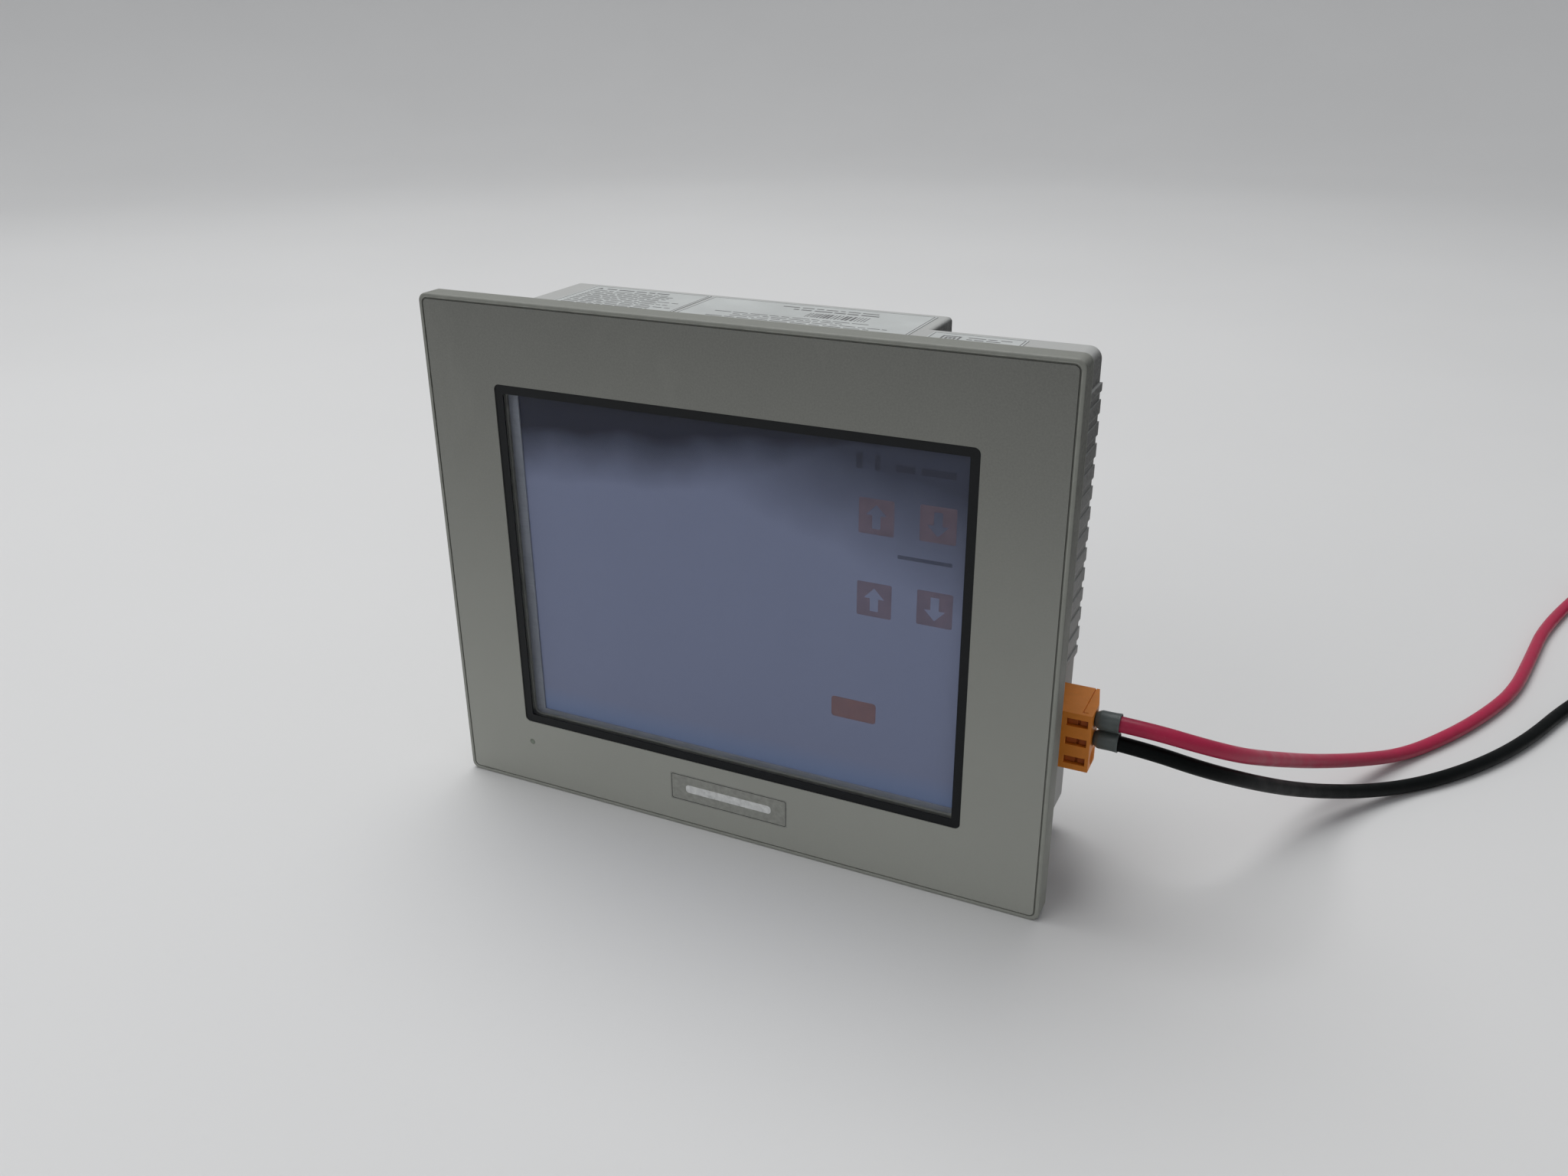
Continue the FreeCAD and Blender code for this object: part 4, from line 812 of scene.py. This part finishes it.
def roundedRectangle(x0, x1, y0, y1, r, steps=5):
    corners = (
        (x1 - r, y1 - r, 0), (x0 + r, y1 - r, 90),
        (x0 + r, y0 + r, 180), (x1 - r, y0 + r, 270),
    )
    points = []
    for cx, cy, start in corners:
        for k in range(steps + 1):
            a = math.radians(start + 90 * k / steps)
            points.append((cx + r * math.cos(a), cy + r * math.sin(a)))
    return points


def circle(cx, cy, r, steps=24):
    turns = [2 * math.pi * k / steps for k in range(steps)]
    return [(cx + r * math.cos(a), cy + r * math.sin(a)) for a in turns]


def frontPlace(y):
    # shapes drawn in X and Z, raised towards the front
    return Matrix(((1, 0, 0, 0), (0, 0, -1, y), (0, 1, 0, 0), (0, 0, 0, 1)))


def topPlace(z):
    return Matrix.Translation((0, 0, z))


# dust screens: a strip just below the surface of each side vent
ventScreen = {
    "count": 13, "pitch": 5.3 * mm, "topZ": 50.0 * mm, "high": 1.96 * mm,
    "x": (76.4 * mm, 77.85 * mm), "y": (8.2 * mm, 36.6 * mm),
}


def fitVentScreens():
    bm = bmesh.new()
    x0, x1 = ventScreen["x"]
    y0, y1 = ventScreen["y"]
    for k in range(ventScreen["count"]):
        z = ventScreen["topZ"] - k * ventScreen["pitch"] - ventScreen["high"] / 2
        addPlate(bm, rectangle(x0, x1, y0, y1), [], ventScreen["high"], topPlace(z))
    addPiece("ventScreens", bm, casePaint, "panel")


fitVentScreens()

# name plate: a thin frame line and a plain silver bar
namePlate = {
    "inset": 0.35 * mm, "line": 0.20 * mm, "outerCorner": 0.5 * mm, "innerCorner": 0.35 * mm,
    "barLong": 25 * mm, "barHigh": 2.3 * mm, "barCorner": 0.9 * mm, "ink": 0.02 * mm,
}


def printNamePlate():
    low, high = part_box("name_plate")
    inset, line = namePlate["inset"], namePlate["line"]
    x0, x1, z0, z1 = low.x + inset, high.x - inset, low.z + inset, high.z - inset
    bm = bmesh.new()
    outer = roundedRectangle(x0, x1, z0, z1, namePlate["outerCorner"])
    inner = roundedRectangle(x0 + line, x1 - line, z0 + line, z1 - line, namePlate["innerCorner"])
    addPlate(bm, outer, [inner], namePlate["ink"], frontPlace(low.y))
    addPiece("plateFrameLine", bm, lineInk, "panel")
    cx, cz = (x0 + x1) / 2, (z0 + z1) / 2
    half, tall = namePlate["barLong"] / 2, namePlate["barHigh"] / 2
    bm = bmesh.new()
    bar = roundedRectangle(cx - half, cx + half, cz - tall, cz + tall, namePlate["barCorner"])
    addPlate(bm, bar, [], namePlate["ink"], frontPlace(low.y))
    addPiece("plateSilverBar", bm, silverInk, "panel")


printNamePlate()

# pictures burnt into the screen: four arrow keys, one long key, and short title bars
screenMarks = {
    "keySize": 8.6 * mm,
    "keyCorner": 0.4 * mm,
    "longCorner": 0.8 * mm,
    # x and z of each key's middle in millimetres, then 1 for an arrow up or -1 for one down
    "keys": [(38.6, 27.2, 1), (53.3, 27.6, -1), (38.5, 6.6, 1), (53.3, 7.0, -1)],
    # left, right, bottom and top, in millimetres
    "longKey": (28.0, 39.6, -26.3, -20.8),
    "titles": [
        (33.5, 35.0, 38.2, 42.0), (38.0, 39.2, 38.2, 42.0), (43.0, 47.5, 38.6, 40.2),
        (49.0, 57.0, 38.6, 40.2), (44.0, 57.0, 18.0, 18.9),
    ],
    "thick": 0.02 * mm,
    "keyTone": (0.66, 0.46, 0.56),
    "longTone": (0.74, 0.36, 0.30),
    "titleTone": (0.20, 0.21, 0.32),
}


def arrowShape(cx, cz, size, up):
    w, h = size * 0.30, size * 0.34
    stem, neck = size * 0.12, 0.1 * h
    points = [
        (-stem, -h), (stem, -h), (stem, neck), (w, neck), (0, h), (-w, neck), (-stem, neck),
    ]
    return [(cx + x, cz + z * up) for x, z in points]


def printScreenMarks():
    place = frontPlace(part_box("lcd_screen")[0].y)
    size, half = screenMarks["keySize"], screenMarks["keySize"] / 2
    bm = bmesh.new()
    for x, z, up in screenMarks["keys"]:
        cx, cz = x * mm, z * mm
        outline = roundedRectangle(
            cx - half, cx + half, cz - half, cz + half, screenMarks["keyCorner"])
        addPlate(bm, outline, [arrowShape(cx, cz, size, up)], screenMarks["thick"], place)
    keyInk = ghostInk("ghostPink", screenMarks["keyTone"], 0.26)
    addPiece("ghostKeys", bm, keyInk, "panel")
    x0, x1, z0, z1 = [v * mm for v in screenMarks["longKey"]]
    bm = bmesh.new()
    outline = roundedRectangle(x0, x1, z0, z1, screenMarks["longCorner"])
    addPlate(bm, outline, [], screenMarks["thick"], place)
    longInk = ghostInk("ghostRed", screenMarks["longTone"], 0.32)
    addPiece("ghostLongKey", bm, longInk, "panel")
    bm = bmesh.new()
    for title in screenMarks["titles"]:
        x0, x1, z0, z1 = [v * mm for v in title]
        addPlate(bm, rectangle(x0, x1, z0, z1), [], screenMarks["thick"], place)
    titleInk = ghostInk("ghostGrey", screenMarks["titleTone"], 0.14)
    addPiece("ghostTitles", bm, titleInk, "panel")


printScreenMarks()

# label print: rows of plain bars in place of words, rings and squares in place of marks
labelPrint = {
    "ink": 0.02 * mm, "frame": 0.22 * mm, "frameInset": 0.5 * mm, "barHigh": 0.50 * mm,
    "seed": 11,
}
dice = random.Random(labelPrint["seed"])


def addFrame(bm, x0, x1, y0, y1, place):
    line = labelPrint["frame"]
    inner = rectangle(x0 + line, x1 - line, y0 + line, y1 - line)
    addPlate(bm, rectangle(x0, x1, y0, y1), [inner], labelPrint["ink"], place)


def addRow(bm, x0, x1, y, high, place, fill):
    # one line of word-long bars; fill is the share of the line that they take
    x = x0
    stop = x0 + (x1 - x0) * fill
    while x < stop:
        word = min(dice.uniform(1.2, 5.2) * mm, stop - x)
        if word > 0.5 * mm:
            addPlate(bm, rectangle(x, x + word, y, y + high), [], labelPrint["ink"], place)
        x += word + dice.uniform(0.5, 0.9) * mm


def addSquare(bm, cx, cy, half, line, place):
    # a square outline, or a full square without a line width
    holes = []
    if line:
        inner = half - line
        holes = [rectangle(cx - inner, cx + inner, cy - inner, cy + inner)]
    addPlate(bm, rectangle(cx - half, cx + half, cy - half, cy + half), holes,
             labelPrint["ink"], place)


def startLabel(nodeName):
    # every label has a thin frame line just inside its edge
    low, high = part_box(nodeName)
    place = topPlace(high.z)
    inset = labelPrint["frameInset"]
    bm = bmesh.new()
    addFrame(bm, low.x + inset, high.x - inset, low.y + inset, high.y - inset, place)
    return bm, low, high, place


cautionLabel = {
    "margin": 2.2 * mm, "firstRow": 3.0 * mm,
    "signWide": 2.0 * mm, "signFoot": 0.8 * mm, "signTip": 1.0 * mm,
    "titleStart": 3.2 * mm, "titleDrop": 0.5 * mm, "titleHigh": 0.9 * mm, "titleFill": 0.72,
    "titleGap": 2.6 * mm, "pitch": 1.45 * mm, "lowest": 1.6 * mm, "fill": (0.72, 1.0),
}


def printCautionLabel():
    look = cautionLabel
    bm, low, high, place = startLabel("caution_label")
    x0, x1 = low.x + look["margin"], high.x - look["margin"]
    y = high.y - look["firstRow"]
    foot, tip = y - look["signFoot"], y + look["signTip"]
    sign = [(x0, foot), (x0 + look["signWide"], foot), (x0 + look["signWide"] / 2, tip)]
    addPlate(bm, sign, [], labelPrint["ink"], place)
    addRow(bm, x0 + look["titleStart"], x1, y - look["titleDrop"], look["titleHigh"], place,
           look["titleFill"])
    y -= look["titleGap"]
    while y > low.y + look["lowest"]:
        addRow(bm, x0, x1, y, labelPrint["barHigh"], place, dice.uniform(*look["fill"]))
        y -= look["pitch"]
    addPiece("cautionPrint", bm, labelInk, "panel")


ratingLabel = {
    "margin": 2.4 * mm,
    # start and end inside the margins, drop from the top edge and height in millimetres, fill
    "titles": [(20, 8, 4.2, 0.7, 0.9), (24, 10, 6.6, 0.9, 1.0)],
    "ruledStart": 30 * mm, "ruledEnd": 12 * mm, "ruledTop": 8.6 * mm, "ruledFoot": 13.2 * mm,
    "ruledBars": (0.25, 0.25, 0.45, 0.7), "ruledGaps": (0.3, 0.45, 0.6),
    "rows": 7, "firstRow": 15.8 * mm, "pitch": 1.75 * mm, "rowEnd": 3 * mm, "fill": (0.7, 0.98),
    "longStart": 6 * mm, "shortStart": 12 * mm,  # every third row starts further left
    "rings": [(3.5, 1.7), (12.5, 1.5), (21.0, 1.6)],  # start and radius, in millimetres
    "ringUp": 5.2 * mm, "ringLine": 0.35, "dash": (0.6 * mm, 0.25 * mm),
    "loneIn": 4.0 * mm, "loneUp": 8.0 * mm, "loneRadii": (1.9 * mm, 1.45 * mm),
    "footRows": (2.2, 3.8, 5.4), "footStart": 27 * mm, "footEnd": 2 * mm, "footFill": 0.92,
}


def printRatingLabel():
    look, ink = ratingLabel, labelPrint["ink"]
    bm, low, high, place = startLabel("rating_label")
    x0, x1 = low.x + look["margin"], high.x - look["margin"]
    for start, end, drop, tall, fill in look["titles"]:
        addRow(bm, x0 + start * mm, x1 - end * mm, high.y - drop * mm, tall * mm, place, fill)
    # a close-ruled block
    x = x0 + look["ruledStart"]
    while x < x1 - look["ruledEnd"]:
        wide = dice.choice(look["ruledBars"]) * mm
        foot, top = high.y - look["ruledFoot"], high.y - look["ruledTop"]
        addPlate(bm, rectangle(x, x + wide, foot, top), [], ink, place)
        x += wide + dice.choice(look["ruledGaps"]) * mm
    y = high.y - look["firstRow"]
    for k in range(look["rows"]):
        start = x0 + (look["shortStart"] if k % 3 else look["longStart"])
        end = x1 - look["rowEnd"]
        addRow(bm, start, end, y, labelPrint["barHigh"], place, dice.uniform(*look["fill"]))
        y -= look["pitch"]
    # marks: rings round a dash, and one plain ring
    dashWide, dashHigh = look["dash"]
    for x, r in look["rings"]:
        cx, cy = x0 + x * mm, low.y + look["ringUp"]
        inner = circle(cx, cy, (r - look["ringLine"]) * mm)
        addPlate(bm, circle(cx, cy, r * mm), [inner], ink, place)
        dash = rectangle(cx - dashWide, cx + dashWide, cy - dashHigh, cy + dashHigh)
        addPlate(bm, dash, [], ink, place)
    cx, cy = x1 - look["loneIn"], low.y + look["loneUp"]
    outer, inner = [circle(cx, cy, r) for r in look["loneRadii"]]
    addPlate(bm, outer, [inner], ink, place)
    for up in look["footRows"]:
        addRow(bm, x0 + look["footStart"], x1 - look["footEnd"], low.y + up * mm,
               labelPrint["barHigh"], place, look["footFill"])
    addPiece("ratingPrint", bm, labelInk, "panel")


serialLabel = {
    "codeIn": 5.6 * mm, "codeDrop": 5.0 * mm,
    # half width and line width of each nested square; the middle one is full
    "squares": [(2.3 * mm, 0.5 * mm), (1.25 * mm, 0.5 * mm), (0.35 * mm, None)],
    # start, drop from the top edge, height and fill of a row beside the squares
    "upperRows": [(9.6, 3.4, 0.55, 0.9), (9.6, 5.2, 0.55, 0.7)],
    # start, rise from the lower edge, height and fill of a row below them
    "lowerRows": [(2.4, 4.0, 0.6, 0.9), (2.4, 2.2, 0.6, 0.8)],
    "rowEnd": 2 * mm,
}


def printSerialLabel():
    look = serialLabel
    bm, low, high, place = startLabel("serial_label")
    # nested squares in place of a scan code
    cx, cy = low.x + look["codeIn"], high.y - look["codeDrop"]
    for half, line in look["squares"]:
        addSquare(bm, cx, cy, half, line, place)
    end = high.x - look["rowEnd"]
    for start, drop, tall, fill in look["upperRows"]:
        addRow(bm, low.x + start * mm, end, high.y - drop * mm, tall * mm, place, fill)
    for start, rise, tall, fill in look["lowerRows"]:
        addRow(bm, low.x + start * mm, end, low.y + rise * mm, tall * mm, place, fill)
    addPiece("serialPrint", bm, labelInk, "panel")


printCautionLabel()
printRatingLabel()
printSerialLabel()
print("prints on the plate, the screen and the labels")


# wire sleeves: soft collars on the wires, each over a metal pin
def addLathe(bm, profile, place, rounds=48, wobble=0.0, seed=1):
    # profile is (along, radius) pairs turned about the local X axis
    shake = random.Random(seed)
    swing = [shake.uniform(-1, 1) for k in range(4)]
    rings = []
    for along, radius in profile:
        if radius <= 0:
            rings.append([bm.verts.new(place @ Vector((along, 0, 0)))])
            continue
        ring = []
        for k in range(rounds):
            a = 2 * math.pi * k / rounds
            off = sum(s * math.sin((n + 2) * a + n) for n, s in enumerate(swing)) * wobble
            r = radius + off * max(along, 0) / profile[-1][0] if profile[-1][0] else radius
            ring.append(bm.verts.new(place @ Vector((along, r * math.cos(a), r * math.sin(a)))))
        rings.append(ring)
    for a, b in zip(rings, rings[1:]):
        for k in range(rounds):
            j = (k + 1) % rounds
            if len(a) == 1:
                bm.faces.new((a[0], b[k], b[j]))
            elif len(b) == 1:
                bm.faces.new((a[k], b[0], a[j]))
            else:
                bm.faces.new((a[k], b[k], b[j], a[j]))


sleeve = {
    "body": 2.40 * mm, "mouth": 2.50 * mm, "neck": 1.55 * mm, "lip": 0.22 * mm,
    "inside": 2.18 * mm, "lengthInPlug": 6.0 * mm, "wobble": 0.016 * mm,
}
crimp = {
    "radius": 1.15 * mm, "blunt": 0.3 * mm, "root": 0.4 * mm, "count": 5,
    "first": 1.4 * mm, "pitch": 2.1 * mm, "depth": 0.16 * mm,
}


def sleeveProfile(length):
    # neck, shoulder, barrel, flared mouth, then the hollow that takes the wire
    neck, body, mouth, inside = [sleeve[part] for part in ("neck", "body", "mouth", "inside")]
    return [
        (0.0, 0.0), (0.0, neck), (0.25 * mm, neck + 0.25 * mm),
        (1.1 * mm, body - 0.12 * mm), (1.5 * mm, body),
        (length - 2.2 * mm, body - 0.02 * mm), (length - 1.2 * mm, body),
        (length - 0.45 * mm, mouth - 0.04 * mm), (length - 0.08 * mm, mouth),
        (length, mouth - 0.08 * mm), (length - 0.02 * mm, mouth - sleeve["lip"]),
        (length - 0.6 * mm, inside), (length - 2.6 * mm, inside - 0.2 * mm),
        (length - 3.0 * mm, 0.9 * mm),
    ]


def fitPlugSleeve(name, nodeName, route, seed):
    # starts on the plug's outer face, round the point where the wire comes out
    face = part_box("plug_housing")[1].x
    place = Matrix.Translation((face, *route["exit"][1:]))
    bm = bmesh.new()
    addLathe(bm, sleeveProfile(sleeve["lengthInPlug"]), place, wobble=sleeve["wobble"], seed=seed)
    piece = addPiece(name, bm, sleevePaint, "power_plug", smooth=True)
    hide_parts(nodeName)
    return piece


def fitEndSleeve(name, nodeName, route, seed):
    # the collar's mouth faces the coil and the crimped pin lies on the floor
    off, heading = endAxis(route)
    reach = wire["endRun"] + wire["endSleeve"]
    turn = (-heading).to_track_quat("X", "Z").to_matrix().to_4x4()
    place = Matrix.Translation(off + heading * reach) @ turn
    bm = bmesh.new()
    addLathe(bm, sleeveProfile(wire["endSleeve"]), place, wobble=sleeve["wobble"], seed=seed)
    collar = addPiece(name + "Sleeve", bm, sleevePaint, "power_plug", smooth=True)
    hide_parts(nodeName)
    # pin with crimp waists
    radius, tip, root = crimp["radius"], -wire["endPin"], crimp["root"]
    waist = radius - crimp["depth"]
    profile = [(tip, 0.0), (tip, radius - crimp["blunt"]), (tip + crimp["blunt"], radius)]
    for k in range(crimp["count"]):
        at = tip + crimp["first"] + k * crimp["pitch"]
        profile += [(at, radius), (at + 0.35 * mm, waist),
                    (at + 1.0 * mm, waist), (at + 1.35 * mm, radius)]
    profile += [(root, radius), (root, 0.0)]
    bm = bmesh.new()
    addLathe(bm, profile, place, rounds=32)
    metalPin = addPiece(name + "Pin", bm, tinPaint, "power_plug", smooth=True)
    return [collar, metalPin]


redSleeve = fitPlugSleeve("redPlugSleeve", "red_ferrule", redRoute, 3)
blackSleeve = fitPlugSleeve("blackPlugSleeve", "black_ferrule", blackRoute, 8)
redEnd = fitEndSleeve("redEnd", "red_end_ferrule", redRoute, 5)
blackEnd = fitEndSleeve("blackEnd", "black_end_ferrule", blackRoute, 6)
for lead, slotName in ((redLead, "red_insulation"), (blackLead, "black_insulation")):
    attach(lead, "power_plug")
print("sleeves on the wires")
